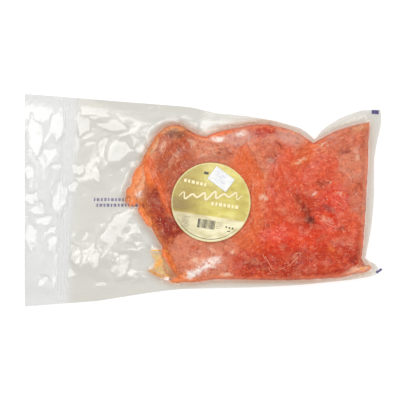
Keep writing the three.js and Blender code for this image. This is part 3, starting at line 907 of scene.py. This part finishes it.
fish = tree_of(bed, slices, chunks, tatters, strands, flecks)
grid_x, grid_y = (np.arange(film_low[k] - GRID_MARGIN, film_high[k] + GRID_MARGIN, ENVELOPE_STEP)
                  for k in (0, 1))
envelope = np.array([[height_at(fish, x, y, 0) for x in grid_x] for y in grid_y])
fish_cover = blurred((envelope > 0).astype(float), 1)
damp = np.minimum(1, 2 * blurred(fish_cover, JUICE_SPREAD))   # juice creeps out between the sheets
for x, y, reach, gain in JUICE_POOLS:
    far = ((grid_x[None, :] - x * MM) ** 2 + (grid_y[:, None] - y * MM) ** 2) / (reach * MM) ** 2
    damp = damp * (1 + gain * np.exp(-far))
wide = envelope
for axis in (0, 1):
    wide = np.maximum(wide, np.maximum(np.roll(wide, 1, axis), np.roll(wide, -1, axis)))
envelope = blurred(wide, 2)


def on_grid(field, x, y):
    """The value of a field on the grid at one place."""
    u, v = (x - grid_x[0]) / ENVELOPE_STEP, (y - grid_y[0]) / ENVELOPE_STEP
    i, j = int(u), int(v)
    u, v = u - i, v - j
    low = field[j, i] * (1 - u) + field[j, i + 1] * u
    high = field[j + 1, i] * (1 - u) + field[j + 1, i + 1] * u
    return low * (1 - v) + high * v


def film_rim():
    """The film's outline, from the upright faces round the solid's rim: x, y, low and high."""
    def key(corner):
        return round(corner.co.x, 6), round(corner.co.y, 6)

    solid = bmesh.new()
    solid.from_mesh(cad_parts["pouch"].data)
    bmesh.ops.remove_doubles(solid, verts=solid.verts, dist=1e-6)
    nearby, heights = {}, {}
    for corner in solid.verts:
        heights.setdefault(key(corner), []).append(corner.co.z)
    for face in solid.faces:
        if abs(face.normal.z) < 1e-3 and len({key(v) for v in face.verts}) == 2:
            a, b = {key(v) for v in face.verts}
            nearby.setdefault(a, set()).add(b)
            nearby.setdefault(b, set()).add(a)
    solid.free()
    start = min(nearby)
    loop, last, here = [start], None, start
    while True:
        ahead = [p for p in nearby[here] if p != last]
        last, here = here, ahead[0]
        if here == start:
            return [(*p, min(heights[p]), max(heights[p])) for p in loop]
        loop.append(here)


def resampled(loop, step):
    points = []
    for a, b in zip(np.array(loop), np.array(loop[1:] + loop[:1])):
        count = max(1, round(math.dist(a[:2], b[:2]) / step))
        points += [tuple(a + (b - a) * k / count) for k in range(count)]
    return points


rim = resampled(film_rim(), FILM_STEP)
rim_finder = finder([place[:2] for place in rim])


def seal_place(x, y):
    """Distance to the right of the end seal's first line."""
    share = (END_SEAL_TOP[1] - y) / (END_SEAL_TOP[1] - END_SEAL_BOTTOM[1])
    return x - (END_SEAL_TOP[0] + (END_SEAL_BOTTOM[0] - END_SEAL_TOP[0]) * share)


facet_frames = []
stations = np.array(FACET_STATIONS)
for mid_x, mid_y, half_length, half_width, turn, bow, steep in FACETS:
    angle, fall = math.radians(turn), math.tan(math.radians(steep))
    crest = []
    for along in FACET_STATIONS:
        x, y = turned(along * half_length, bow * (1 - along * along), angle, (mid_x, mid_y))
        crest.append(max(height_at(packed, x * MM, y * MM, 0), (FACET_CLEAR + half_width * fall) * MM))
    straight = np.polyval(np.polyfit(stations, crest, 1), stations)
    crest = straight + FACET_RAISED * (crest - straight).max()
    lean = fall * math.cos(FACET_FACES - angle) * min(half_length, FACET_LEAN) * MM
    facet_frames.append((angle, crest - lean * stations, fall * math.sin(FACET_FACES - angle)))


def facet_plane(x, y):
    """The height of the facet over one place, and how much of a facet is there."""
    plane = share = 0
    wander = noise.noise_vector(Vector((x, y, 0)) / FACET_RAGGED_SIZE)
    for (mid_x, mid_y, half_length, half_width, _, bow, _), frame_at in zip(FACETS, facet_frames):
        dx, dy = x - mid_x * MM, y - mid_y * MM
        dx, dy = dx + FACET_RAGGED * wander[0], dy + FACET_RAGGED * wander[1]
        if math.hypot(dx, dy) > (half_length + abs(bow) + 2) * MM:
            continue
        angle, crest, fall = frame_at
        along, across = turned(dx, dy, -angle)
        along = along / (half_length * MM)
        taper = min(1, FACET_TAPER * (1 - abs(along)))
        across = across - bow * MM * (1 - along * along)
        inside = (half_width + FACET_WIDER) * MM * taper - abs(across)
        here = float(smooth_step(0, FACET_EDGE, inside))
        if here > share:
            plane, share = float(np.interp(along, FACET_STATIONS, crest)) - fall * across, here
    return plane, share


side_slope = (SIDE_AT[1] - film_high[1]) / (SIDE_AT[0] - film_low[0])


def film_side_distance(x, y):
    """Distance to the nearer long side of the film, left of the fish."""
    half = film_high[1] + side_slope * (x - film_low[0])
    return min(abs(y - half), abs(y + half))


def crumple_at(x, y, past_seal, to_rim):
    """How far the crumples lift the upper sheet, and how free of a weld it is there."""
    nets = header_nets if past_seal < END_SEAL_WIDTH / 2 else body_nets
    height = sum(high * (net_height(net, x, y) - CRUMPLE_SUNK) for net, high in nets)
    off_seal = -past_seal if past_seal < 0 else past_seal - END_SEAL_WIDTH
    flat = smooth_step(*SEAL_FREE, off_seal)
    if past_seal < 0:
        free = smooth_step(*HEADER_FREE, film_side_distance(x, y))
        free *= END_FREE + (1 - END_FREE) * smooth_step(0, 4 * MM, x - film_low[0])
    else:
        free = smooth_step(*BODY_FREE, to_rim)
    return height * free * flat, float(free)


def film_heights(x, y):
    """Heights of the upper and the lower sheet at one place."""
    top, bottom = height_at(packed, x, y), depth_at(packed, x, y)
    _, nearest, to_rim = rim_finder.find((x, y, 0))
    if top is None or bottom is None or to_rim < 0.1 * MM:
        bottom, top = rim[nearest][2:]
    cover = min(1, on_grid(fish_cover, x, y))
    to_fish = edge_finder.find((x, y, 0))[2]
    sunk = FREE_SINK * float(smooth_step(0, SINK_REACH, to_fish) - smooth_step(0, FREE_REACH, to_fish))
    sunk *= float(1 - smooth_step(*SINK_UP_TO, x)) * (1 - cover)
    top, bottom = top - sunk, max(0, bottom - sunk)
    share = to_rim / max(1e-6, min(FLANGE, to_rim + to_fish * (1 - cover)))
    rise = min(1, max(0, (share - FLANGE_FLAT) / FLANGE_RISE))
    top = rim[nearest][3] + (top - rim[nearest][3]) * rise
    past_seal = seal_place(x, y)
    welded = float(smooth_step(-SEAL_BLEND, 0, past_seal)
                   * (1 - smooth_step(END_SEAL_WIDTH, END_SEAL_WIDTH + SEAL_BLEND, past_seal)))
    top, bottom = top + (SEAL_HEIGHT - top) * welded, bottom * (1 - welded)
    crumple, free = crumple_at(x, y, past_seal, to_rim)
    crumple *= 1 - cover + CRUMPLE_ON_FISH * cover
    drawn = max(on_grid(envelope, x, y) + FILM_OVER_FISH, top - FILM_SLACK * cover)
    drawn = min(drawn, top + FILM_OVER_PACK)
    to_label = math.dist((x, y), label_middle) - label_radius
    bare = float(smooth_step(*LABEL_BLEND, to_label))
    plane, on_facet = facet_plane(x, y)
    on_facet *= min(1, 1.6 * free) * (1 - cover)
    loose = (drawn + crumple) * (1 - on_facet) + (plane + (1 - FACET_SMOOTH) * crumple) * on_facet
    upper = top * (1 - bare) + loose * bare
    lower = max(FILM_LOWEST, bottom + CRUMPLE_BELOW * crumple * (1 - cover))
    return max(upper, lower + SHEET_GAP), lower


rng = np.random.default_rng(5)
sheet_points = [place[:2] for place in rim]
rows = int((film_high[1] - film_low[1]) / (FILM_STEP * FILM_ROWS)) + 1
columns = int((film_high[0] - film_low[0]) / FILM_STEP) + 1
for j in range(rows):
    for i in range(columns):
        shift = (rng.random(2) - 0.5) * FILM_JITTER
        x = film_low[0] + (i + 0.5 * (j % 2) + shift[0]) * FILM_STEP
        y = film_low[1] + (j + shift[1]) * FILM_STEP * FILM_ROWS
        off_rim = rim_finder.find((x, y, 0))[2]
        if height_at(packed, x, y) is not None and off_rim > LEAST_OFF_RIM:
            sheet_points.append((x, y))
rim_edges = [(k, (k + 1) % len(rim)) for k in range(len(rim))]
flat_points, _, flat_faces, _, _, _ = geometry.delaunay_2d_cdt(
    [Vector(p) for p in sheet_points], rim_edges, [], 1, 1e-7)

sheets = np.array([film_heights(p.x, p.y) for p in flat_points])
spots = np.array(flat_points)
corners = np.array(flat_faces)
pairs = np.concatenate([corners[:, [0, 1]], corners[:, [1, 2]], corners[:, [2, 0]]])
over_fish = np.array([on_grid(fish_cover, x, y) for x, y in spots])
slope = STEEPEST[0] + (STEEPEST[1] - STEEPEST[0]) * np.minimum(1, 4 * over_fish[pairs].max(axis=1))
drop = slope * np.linalg.norm(spots[pairs[:, 0]] - spots[pairs[:, 1]], axis=1)
for _ in range(SLOPE_ROUNDS):
    for high, low in ((0, 1), (1, 0)):
        np.maximum.at(sheets[:, 0], pairs[:, low], sheets[pairs[:, high], 0] - drop)
count = len(flat_points)
film_points = np.concatenate([np.c_[spots, sheets[:, 0]], np.c_[spots, sheets[:, 1]]])
upper_faces = []
for face in flat_faces:
    a, b, c = (flat_points[i] for i in face)
    upper_faces.append(list(face)[::-1] if (b - a).cross(c - a) < 0 else list(face))


def two_sheets(upper, count):
    """The faces of an upper sheet, the same below it, and the wall round both."""
    faces, runs = [], {}
    for face in upper:
        faces += [face, [count + i for i in face[::-1]]]
        runs.update(dict.fromkeys(zip(face, face[1:] + face[:1])))
    return faces + [[a, count + a, count + b, b] for a, b in runs if (b, a) not in runs]


def film_finish():
    """Clear film: a grey veil from two sheets, crisp gloss, fine rubbed wrinkles, and whitish patches on
    the fish that are milky film and partly painted highlights, the glints of its wrinkles.
    """
    f = Finish("clear_film")
    place = f.place()
    cover, damp, header, loose = map(f.stored, ("cover", "damp", "header", "loose"))
    bare = f.math("SUBTRACT", 1.0, cover)
    wrinkle = f.noise(place, 130, 4, Roughness=0.55, Distortion=0.6)
    cling = f.noise(place, 55, 2)
    rubbed = f.noise(place, 340, 3, Distortion=1.2)
    bump = f.bump(wrinkle, 0.25, 0.0007)
    rough = f.plus(f.plus(0.04, f.times(wrinkle, 0.1)), f.times(cover, 0.14))
    veil = f.mix(header, (238, 237, 233), (243, 243, 242))
    veil = f.mix(f.times(damp, f.plus(0.4, f.times(cling, 0.8))), veil, (221, 190, 166))
    veil = f.mix(cover, veil, (254, 253, 252))
    clear = f.shader("BsdfTransparent", Color=veil)
    gloss = f.shader("BsdfGlossy", Roughness=rough, Normal=bump)
    haze = f.shader("BsdfDiffuse", Color=(0.9, 0.9, 0.9, 1))
    on_fish = f.times(f.shader("Fresnel", IOR=1.31, Normal=bump), cover)
    off_fish = f.times(f.shader("Fresnel", IOR=1.5, Normal=bump), bare)
    mirror = f.math("MINIMUM", f.plus(on_fish, off_fish), 0.4)
    sheen = f.shader("BsdfGlossy", Roughness=0.42, Normal=bump)
    soft = f.times(f.times(bare, loose), 0.11)
    # Partly painted highlights: whitish haze patches on the fish, more towards the top, stand in for the
    # glints of the film's fine wrinkles.
    dry_haze_and_glints = f.times(f.ramp(cling, 0.5, 0.66), f.ramp(rubbed, 0.52, 0.72))
    dry_haze_and_glints = f.times(dry_haze_and_glints, f.ramp(f.get("SeparateXYZ", {0: place}, 1), -50 * MM, 20 * MM))
    milky = f.plus(f.times(bare, 0.03), f.times(header, 0.08))
    milky = f.plus(milky, f.times(f.times(dry_haze_and_glints, cover), 0.17))
    film = f.blend(soft, f.blend(milky, clear, haze), sheen)
    return f.done(f.blend(mirror, film, gloss))


film = make_piece("pouch_film", film_points, two_sheets(upper_faces, count), film_finish(), "pouch")
places = [(p[0], p[1]) for p in film_points]
add_shares(film, "cover", [min(1, on_grid(fish_cover, x, y)) for x, y in places])
add_shares(film, "damp", [on_grid(damp, x, y) for x, y in places])
add_shares(film, "header", [smooth_step(*HEADER_FROM, seal_place(x, y)) for x, y in places])
off_rim = [rim_finder.find((x, y, 0))[2] + max(0, END_LOOSE - (x - film_low[0])) for x, y in places]
off_side = [film_side_distance(x, y) + max(0, x - END_SEAL_TOP[0]) for x, y in places]
add_shares(film, "loose", smooth_step(*LOOSE_FROM, np.minimum(off_rim, off_side)))
film.data.set_sharp_from_angle(angle=math.radians(50))
creased = bmesh.new()
creased.from_mesh(film.data)
for edge in creased.edges:
    a, b = (vert.index % count for vert in edge.verts)
    if max(over_fish[a], over_fish[b]) < 0.02 and edge.calc_face_angle(0) > CREASE_ANGLE:
        edge.smooth = False
creased.to_mesh(film.data)
creased.free()
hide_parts("pouch")

# ---- end seal ribs ------------------------------------------------------------------------
# The welding bar left four fine ridges across the pouch between its header and its body.
RIB_TOPS = (-134.6, -131.3, -127.8, -123.6)
RIB_ENDS = (-143.4, -140.9, -137.4, -134.8)
RIB_HALF_WIDTH = 0.95
RIB_REACH = (96, -97)


def rib_finish():
    """The welded film of the ridges: clear, a little whiter, with a soft gloss."""
    f = Finish("clear_weld")
    patchy = f.noise(f.place(), 60, 3)
    clear = f.shader("BsdfTransparent", Color=(1, 1, 1, 1))
    white = f.shader("BsdfPrincipled", Base_Color=(0.95, 0.95, 0.95, 1), Roughness=0.5)
    return f.done(f.blend(f.plus(0.06, f.times(f.ramp(patchy, 0.3, 0.7), 0.16)), clear, white))


rib_lines = [(RIB_HALF_WIDTH, (top, RIB_REACH[0]), ((top + end) / 2, 0), (end, RIB_REACH[1]))
             for top, end in zip(RIB_TOPS, RIB_ENDS)]
lay_lines("seal_ribs", rib_lines, "pouch", film, rib_finish(), lift=0.22 * MM, flatness=0.1,
          blunt=1.0, step=5 * MM)

# ---- printed marks on the film ------------------------------------------------------------
# The far sheet carries two short rows of purple print, seen from behind, and two corner marks
# that guide the cutter. The rows are plain bars.
MARK_ROWS = [(-107, -75, 0.6), (-104.4, -66, -4.8)]        # start x, end x and y in mm
MARK_HEIGHT = 3.0
MARK_WIDTHS = (1.5, 2.4, 1.9, 2.7)
MARK_GAP = 1.3
CORNER_MARKS = [(163.9, 84.7, 7, 3.8, -3), (167.4, -67.9, 6.4, 2.2, 34)]

bar_growth = Growth("bar_growth", **CARRIER)
g = bar_growth
slab = g.get("MeshCube", {"Size": (1, 1, 1), "Vertices X": 5, "Vertices Y": 3})
turn = g.get("FunctionNodeEulerToRotation", {0: g.field("turn", "FLOAT_VECTOR")})
bars = g.get("InstanceOnPoints", {"Points": g.given[0], "Instance": slab, "Rotation": turn,
                                  "Scale": g.field("size", "FLOAT_VECTOR")})
g.close(g.drape(g.get("RealizeInstances", {"Geometry": bars})))


def lay_bars(name, bars, slot, carrier, finish, lift, thickness, way=-1.0):
    """A piece of bars on a carrier, each x, y, length and width in mm and its turn in degrees."""
    places = start_mesh(name + "_places", [(bar[0] * MM, bar[1] * MM) for bar in bars],
                        size=[(bar[2] * MM, bar[3] * MM, 1) for bar in bars],
                        turn=[(0, 0, math.radians(bar[4])) for bar in bars])
    bar_growth.grow(name, places, slot, Carrier=carrier, Finish=finish, Lift=lift, Way=way,
                    Flatness=thickness)


def bar_row(start, end, widths, gap, first=0, stride=1):
    """Where each bar of a row begins, and its width, picked from the widths in turn."""
    row, at, k = [], start, first
    while at < end:
        row.append((at, widths[k % len(widths)]))
        at, k = at + row[-1][1] + gap, k + stride
    return row


def ink_finish(name, rgb, worn, spread=60):
    """Printing ink: even, a little worn through, with the gloss of what it is printed on."""
    f = Finish(name)
    pale = tuple(min(255, n + spread) for n in rgb)
    body = f.lay(rgb, pale, worn, f.noise(f.place(), 420, 3), 0.45, 0.7)
    return f.done(f.shader("BsdfPrincipled", Base_Color=body, Roughness=0.45))


marks = [(at + width / 2, row, width, MARK_HEIGHT, 0) for start, end, row in MARK_ROWS
         for at, width in bar_row(start, end, MARK_WIDTHS, MARK_GAP, int(row), 3)]
for name, bars, ink in (
        ("far_print", marks, ink_finish("purple_ink", (104, 92, 150), 0.8)),
        ("corner_marks", CORNER_MARKS, ink_finish("violet_ink", (74, 58, 140), 0.4))):
    lay_bars(name, bars, "pouch", film, ink, lift=0.12 * MM, thickness=0.04 * MM, way=1.0)

# ---- round label --------------------------------------------------------------------------
# A stock 3 in paper label with a satin face, stuck on the tight film. Its upper field is a
# muted gold and its lower field is cream, divided by a straight line.
LABEL_TURN = math.radians(-8.7)
LABEL_DIVIDE = -13.3 * MM
LABEL_MESH_SIDES = 160
LABEL_MESH_RINGS = 26
LABEL_THICKNESS = 0.3 * MM
LABEL_PUCKER, PUCKER_SIZE = 0.3 * MM, 14 * MM
LABEL_INNER = 0.985                # share of its radius inside which its height is read
label_tree = tree_of(LABEL)


def label_surface(u, v):
    """Place on the label's face from its own across and up directions."""
    x, y = turned(u, v, LABEL_TURN, label_middle)
    inner = min(1, LABEL_INNER * label_radius / max(1e-9, math.hypot(u, v)))
    inner_x = label_middle[0] + (x - label_middle[0]) * inner
    inner_y = label_middle[1] + (y - label_middle[1]) * inner
    top = height_at(label_tree, inner_x, inner_y)
    out = math.hypot(u, v) / label_radius
    pucker = LABEL_PUCKER * noise.noise(Vector((x, y, 2)) / PUCKER_SIZE) * out
    return x, y, top + pucker


def label_point(share, spoke, face):
    angle = 2 * math.pi * spoke / LABEL_MESH_SIDES
    x, y, z = label_surface(*turned(share * label_radius, 0, angle))
    return x, y, z - LABEL_THICKNESS * face


def label_finish():
    """Satin print: gold field, cream field, pale rim, and the mottling of ink on paper."""
    f = Finish("label_paper_print")
    place = f.get("Mapping", {"Vector": f.place(), "Location": (*label_middle, 0),
                              "Rotation": (0, 0, LABEL_TURN)}, vector_type="TEXTURE")
    u, v, _ = f.add("SeparateXYZ", {0: place}).outputs
    out = f.math("SQRT", f.plus(f.times(u, u), f.times(v, v)))
    cloud = f.noise(place, 42, 3)
    slant = f.get("Mapping", {"Vector": place, "Rotation": (0, 0, 0.7), "Scale": (60, 130, 1)})
    brushed = f.noise(slant, 1.0, 4)
    gold = f.mix(f.ramp(brushed, 0.3, 0.7), (187, 167, 72), (217, 205, 104))
    gold = f.lay(gold, (159, 131, 57), 0.7, u, 8 * MM, -30 * MM)
    gold = f.lay(gold, (240, 228, 156), 0.45, cloud, 0.5, 0.68)
    cream = f.mix(f.ramp(brushed, 0.35, 0.62), (204, 190, 140), (236, 228, 188))
    cream = f.lay(cream, (190, 176, 138), 0.5, u, 0, -24 * MM)
    field = f.mix(f.ramp(v, LABEL_DIVIDE - 0.15 * MM, LABEL_DIVIDE + 0.15 * MM), cream, gold)
    # Painted shade: a brown patch across the divide on the left side of the label.
    shade = f.times(f.ramp(v, -13 * MM, -10 * MM), f.ramp(v, 4 * MM, -4 * MM))
    shade = f.times(f.ramp(u, -8 * MM, -30 * MM), shade)
    field = f.mix(f.times(shade, 0.6), field, (129, 100, 50))
    field = f.lay(field, (232, 222, 160), 0.6, out, label_radius - 1.6 * MM, label_radius - 0.9 * MM)
    field = f.lay(field, (255, 255, 255), 0.12, f.noise(place, 900, 2), 0.45, 0.75)
    return f.done(f.shader("BsdfPrincipled", Base_Color=field, Roughness=0.36, Coat_Weight=0.25,
                           Coat_Roughness=0.2, Normal=f.bump(cloud, 0.3, 0.001)))


label = make_piece("label_face", *rings_and_spokes(LABEL_MESH_SIDES, LABEL_MESH_RINGS, label_point),
                   label_finish(), "label_paper")
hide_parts("round_label")

# ---- print on the label -------------------------------------------------------------------
# Cream blocks and a flourish on the gold field, and dark bars on the cream field. They stand
# for the printed words, and say nothing.
PRINT_LIFT = 0.03 * MM
PRINT_THICKNESS = 0.03 * MM
CREAM_ROWS = [((-28.5, 17.2), (-6.5, 15.6), 3.0), ((0.5, -0.9), (27, -0.9), 3.2)]
CREAM_WIDTHS = (2.5, 1.9, 3.0, 2.3)
CREAM_GAP = 1.5
FLOURISH = {"from": (-31, 1.5), "to": (28.5, 11), "swing": 4.4, "waves": 6, "half_width": 1.15}
BARCODE = {"middle": (-1.2, -21.3), "size": (16.8, 8.6), "bars": 15}
SMALL_PRINT = [((-20.9, -21.8), (8, 11), 8, 0.55), ((11.5, -21), (6, 7), 4, 0.5)]
STAMP = [(18.2, -21.2, 1.5, 1.5), (21.2, -21.6, 1.5, 1.5), (24.4, -21.6, 1.5, 1.5),
         (21, -25, 3, 0.8)]
DARK_MARK = (-8.5, 27, 4.4, 2.6)
RIM_LINE = {"radius": 35.4, "from": -146, "to": -38, "half_width": 0.32}


def on_label(u, v):
    """Place in mm on the pack of the label's own across and up, in mm."""
    x, y, _ = label_surface(u * MM, v * MM)
    return x / MM, y / MM


def label_bar(u, v, length, width):
    return (*on_label(u, v), length, width, math.degrees(LABEL_TURN))


cream_ink = ink_finish("cream_ink", (240, 226, 182), 0.6, spread=12)
dark_ink = ink_finish("dark_ink", (62, 58, 44), 0.7)
grey_ink = ink_finish("grey_ink", (150, 142, 116), 0.9)

blocks = [label_bar(u + width / 2, v0 + (v1 - v0) * (u - u0) / (u1 - u0), width, height)
          for (u0, v0), (u1, v1), height in CREAM_ROWS
          for u, width in bar_row(u0, u1, CREAM_WIDTHS, CREAM_GAP)]
lay_bars("label_blocks", blocks, "label_paper", label, cream_ink, PRINT_LIFT, PRINT_THICKNESS)

(u0, v0), (u1, v1) = FLOURISH["from"], FLOURISH["to"]
wave = []
for k in range(16 * FLOURISH["waves"] + 1):
    share = k / (16 * FLOURISH["waves"])
    phase = 2 * math.pi * FLOURISH["waves"] * share
    swing = FLOURISH["swing"] * (0.65 + 0.35 * math.cos(4 * math.pi * share))
    up = swing * math.sin(phase)
    wave.append(on_label(u0 + (u1 - u0) * share + 0.35 * up, v0 + (v1 - v0) * share + up))
lay_lines("label_flourish", [(FLOURISH["half_width"], *wave)], "label_paper", label, cream_ink,
          lift=PRINT_LIFT, flatness=0.03, blunt=0.35, step=0.8 * MM)

rng = np.random.default_rng(17)
(mid_u, mid_v), (code_length, code_height) = BARCODE["middle"], BARCODE["size"]
pitch = code_length / BARCODE["bars"]
code = [label_bar(mid_u + (k + 0.5) * pitch - code_length / 2, mid_v,
                  pitch * rng.choice((0.4, 0.6, 0.85)), code_height) for k in range(BARCODE["bars"])]
code.append(label_bar(*DARK_MARK))
code += [label_bar(*spot) for spot in STAMP]
lay_bars("label_barcode", code, "label_paper", label, dark_ink, PRINT_LIFT, PRINT_THICKNESS)

lines = []
for (mid_u, mid_v), (length, height), count, thickness in SMALL_PRINT:
    for k in range(count):
        share = 0.75 + 0.25 * rng.random()
        lines.append(label_bar(mid_u - length * (1 - share) / 2, mid_v + height * (0.5 - (k + 0.5) / count),
                               length * share, thickness))
lay_bars("label_small_print", lines, "label_paper", label, grey_ink, PRINT_LIFT, PRINT_THICKNESS)

sweep = np.radians(np.linspace(RIM_LINE["from"], RIM_LINE["to"], 40))
arc = [on_label(*turned(RIM_LINE["radius"], 0, angle)) for angle in sweep]
lay_lines("label_rim_line", [(RIM_LINE["half_width"], *arc)], "label_paper", label,
          ink_finish("olive_ink", (96, 88, 44), 0.5), lift=PRINT_LIFT, flatness=0.08, blunt=0.3,
          step=1 * MM)

# ---- price sticker ------------------------------------------------------------------------
# A small white thermal sticker, put on askew over the label. Its corners have begun to lift.
STICKER_LENGTH, STICKER_WIDTH, STICKER_TURN = 22 * MM, 15 * MM, math.radians(-37)
STICKER_ACROSS, STICKER_UP = 22, 15
CORNER_LIFT = 0.5 * MM
STICKER_THICKNESS = 0.12 * MM
STICKER_CREASE, CREASE_SIZE = 0.12 * MM, 5 * MM
OFF_LABEL = 0.25 * MM
STICKER_PRINT = [(-2, 3.4, 11, 0.5), (-3.4, 1.2, 8, 0.5), (3.5, -1.8, 5, 0.6), (-5, -3.6, 6, 0.5)]
sticker_low, sticker_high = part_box("price_sticker")
sticker_middle = (np.array(sticker_low) + np.array(sticker_high))[:2] / 2
sticker_tree = tree_of(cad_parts["price_sticker"])
face_tree = tree_of(label)


def sticker_place(u, v):
    return turned(u, v, STICKER_TURN, sticker_middle)


def sticker_point(i, j, face):
    u = (i / STICKER_ACROSS - 0.5) * STICKER_LENGTH
    v = (j / STICKER_UP - 0.5) * STICKER_WIDTH
    x, y = sticker_place(u, v)
    inner_x, inner_y = sticker_place(0.96 * u, 0.96 * v)
    z = max(height_at(sticker_tree, inner_x, inner_y, 0), height_at(face_tree, x, y, 0) + OFF_LABEL)
    corner = abs(2 * u / STICKER_LENGTH) ** 5 * abs(2 * v / STICKER_WIDTH) ** 5
    crease = STICKER_CREASE * noise.noise(Vector((u, v, 4)) / CREASE_SIZE)
    return x, y, z + CORNER_LIFT * corner + crease - STICKER_THICKNESS * face


def sticker_finish():
    """White thermal paper, smooth and satin."""
    f = Finish("sticker_paper_white")
    cloud = f.noise(f.place(), 160, 3)
    body = f.mix(f.ramp(cloud, 0.4, 0.65), (224, 225, 225), (236, 236, 232))
    return f.done(f.shader("BsdfPrincipled", Base_Color=body, Roughness=0.4,
                           Normal=f.bump(cloud, 0.2, 0.0005)))


across = STICKER_ACROSS + 1
points = [sticker_point(i, j, face) for face in (0, 1) for j in range(STICKER_UP + 1)
          for i in range(across)]
quads = [[k, k + 1, k + 1 + across, k + across] for j in range(STICKER_UP)
         for k in range(j * across, j * across + STICKER_ACROSS)]
sticker = make_piece("price_sticker_face", points, two_sheets(quads, len(points) // 2),
                     sticker_finish(), "sticker_paper")
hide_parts("price_sticker")
ticket = [(*(np.array(sticker_place(u * MM, v * MM)) / MM), length, width,
           math.degrees(STICKER_TURN)) for u, v, length, width in STICKER_PRINT]
lay_bars("sticker_print", ticket, "sticker_paper", sticker,
         ink_finish("lavender_ink", (188, 184, 208), 0.7), PRINT_LIFT, PRINT_THICKNESS)

# ---- floor, light and camera --------------------------------------------------------------
# The pack lies on a wide light table under two soft boxes, seen from straight above.
FLOOR_REACH = 3
FLOOR_GLOW, FLOOR_GREY = 0.62, 0.45
ROOM_LIGHT = 0.74
CAMERA_HEIGHT = 1.8
CAMERA_OVER = (-4.6 * MM, 0.2 * MM)
VIEW_WIDTH = 384 * MM
VIEW_LEVEL = 8 * MM                # the height at which the view is that wide
floor_mesh = bpy.data.meshes.new("floor")
floor_mesh.from_pydata([(x * FLOOR_REACH, y * FLOOR_REACH, 0)
                        for x, y in ((-1, -1), (1, -1), (1, 1), (-1, 1))], [], [(0, 1, 2, 3)])
floor = bpy.data.objects.new("floor", floor_mesh)
bpy.context.scene.collection.objects.link(floor)
f = Finish("pale_floor")
glow = f.shader("Emission", Color=(1, 1, 1, 1), Strength=FLOOR_GLOW)
sheet = f.shader("BsdfDiffuse", Color=(FLOOR_GREY, FLOOR_GREY, FLOOR_GREY, 1))
floor_mesh.materials.append(f.done(f.get("AddShader", {0: glow, 1: sheet})))


def soft_box(name, place, size, power):
    light = bpy.data.lights.new(name, "AREA")
    light.shape = "RECTANGLE"
    light.size, light.size_y = size
    light.energy = power
    holder = bpy.data.objects.new(name, light)
    holder.location = place
    holder.rotation_euler = (-Vector(place)).to_track_quat("-Z", "Y").to_euler()
    bpy.context.scene.collection.objects.link(holder)


soft_box("key_box", (-0.42, 0.6, 1.4), (1.15, 0.8), power=9.4)
soft_box("fill_box", (0.62, -0.4, 1.3), (0.45, 0.6), power=3.2)
world = bpy.data.worlds.new("studio")
world.use_nodes = True
background = world.node_tree.nodes["Background"].inputs
background["Color"].default_value = (1, 1, 1, 1)
background["Strength"].default_value = ROOM_LIGHT
bpy.context.scene.world = world
bpy.context.scene.view_settings.view_transform = "Standard"

camera_data = bpy.data.cameras.new("camera")
camera = bpy.data.objects.new("camera", camera_data)
bpy.context.scene.collection.objects.link(camera)
camera.location = (*CAMERA_OVER, CAMERA_HEIGHT)
camera_data.angle = 2 * math.atan(VIEW_WIDTH / 2 / (CAMERA_HEIGHT - VIEW_LEVEL))
bpy.context.scene.camera = camera
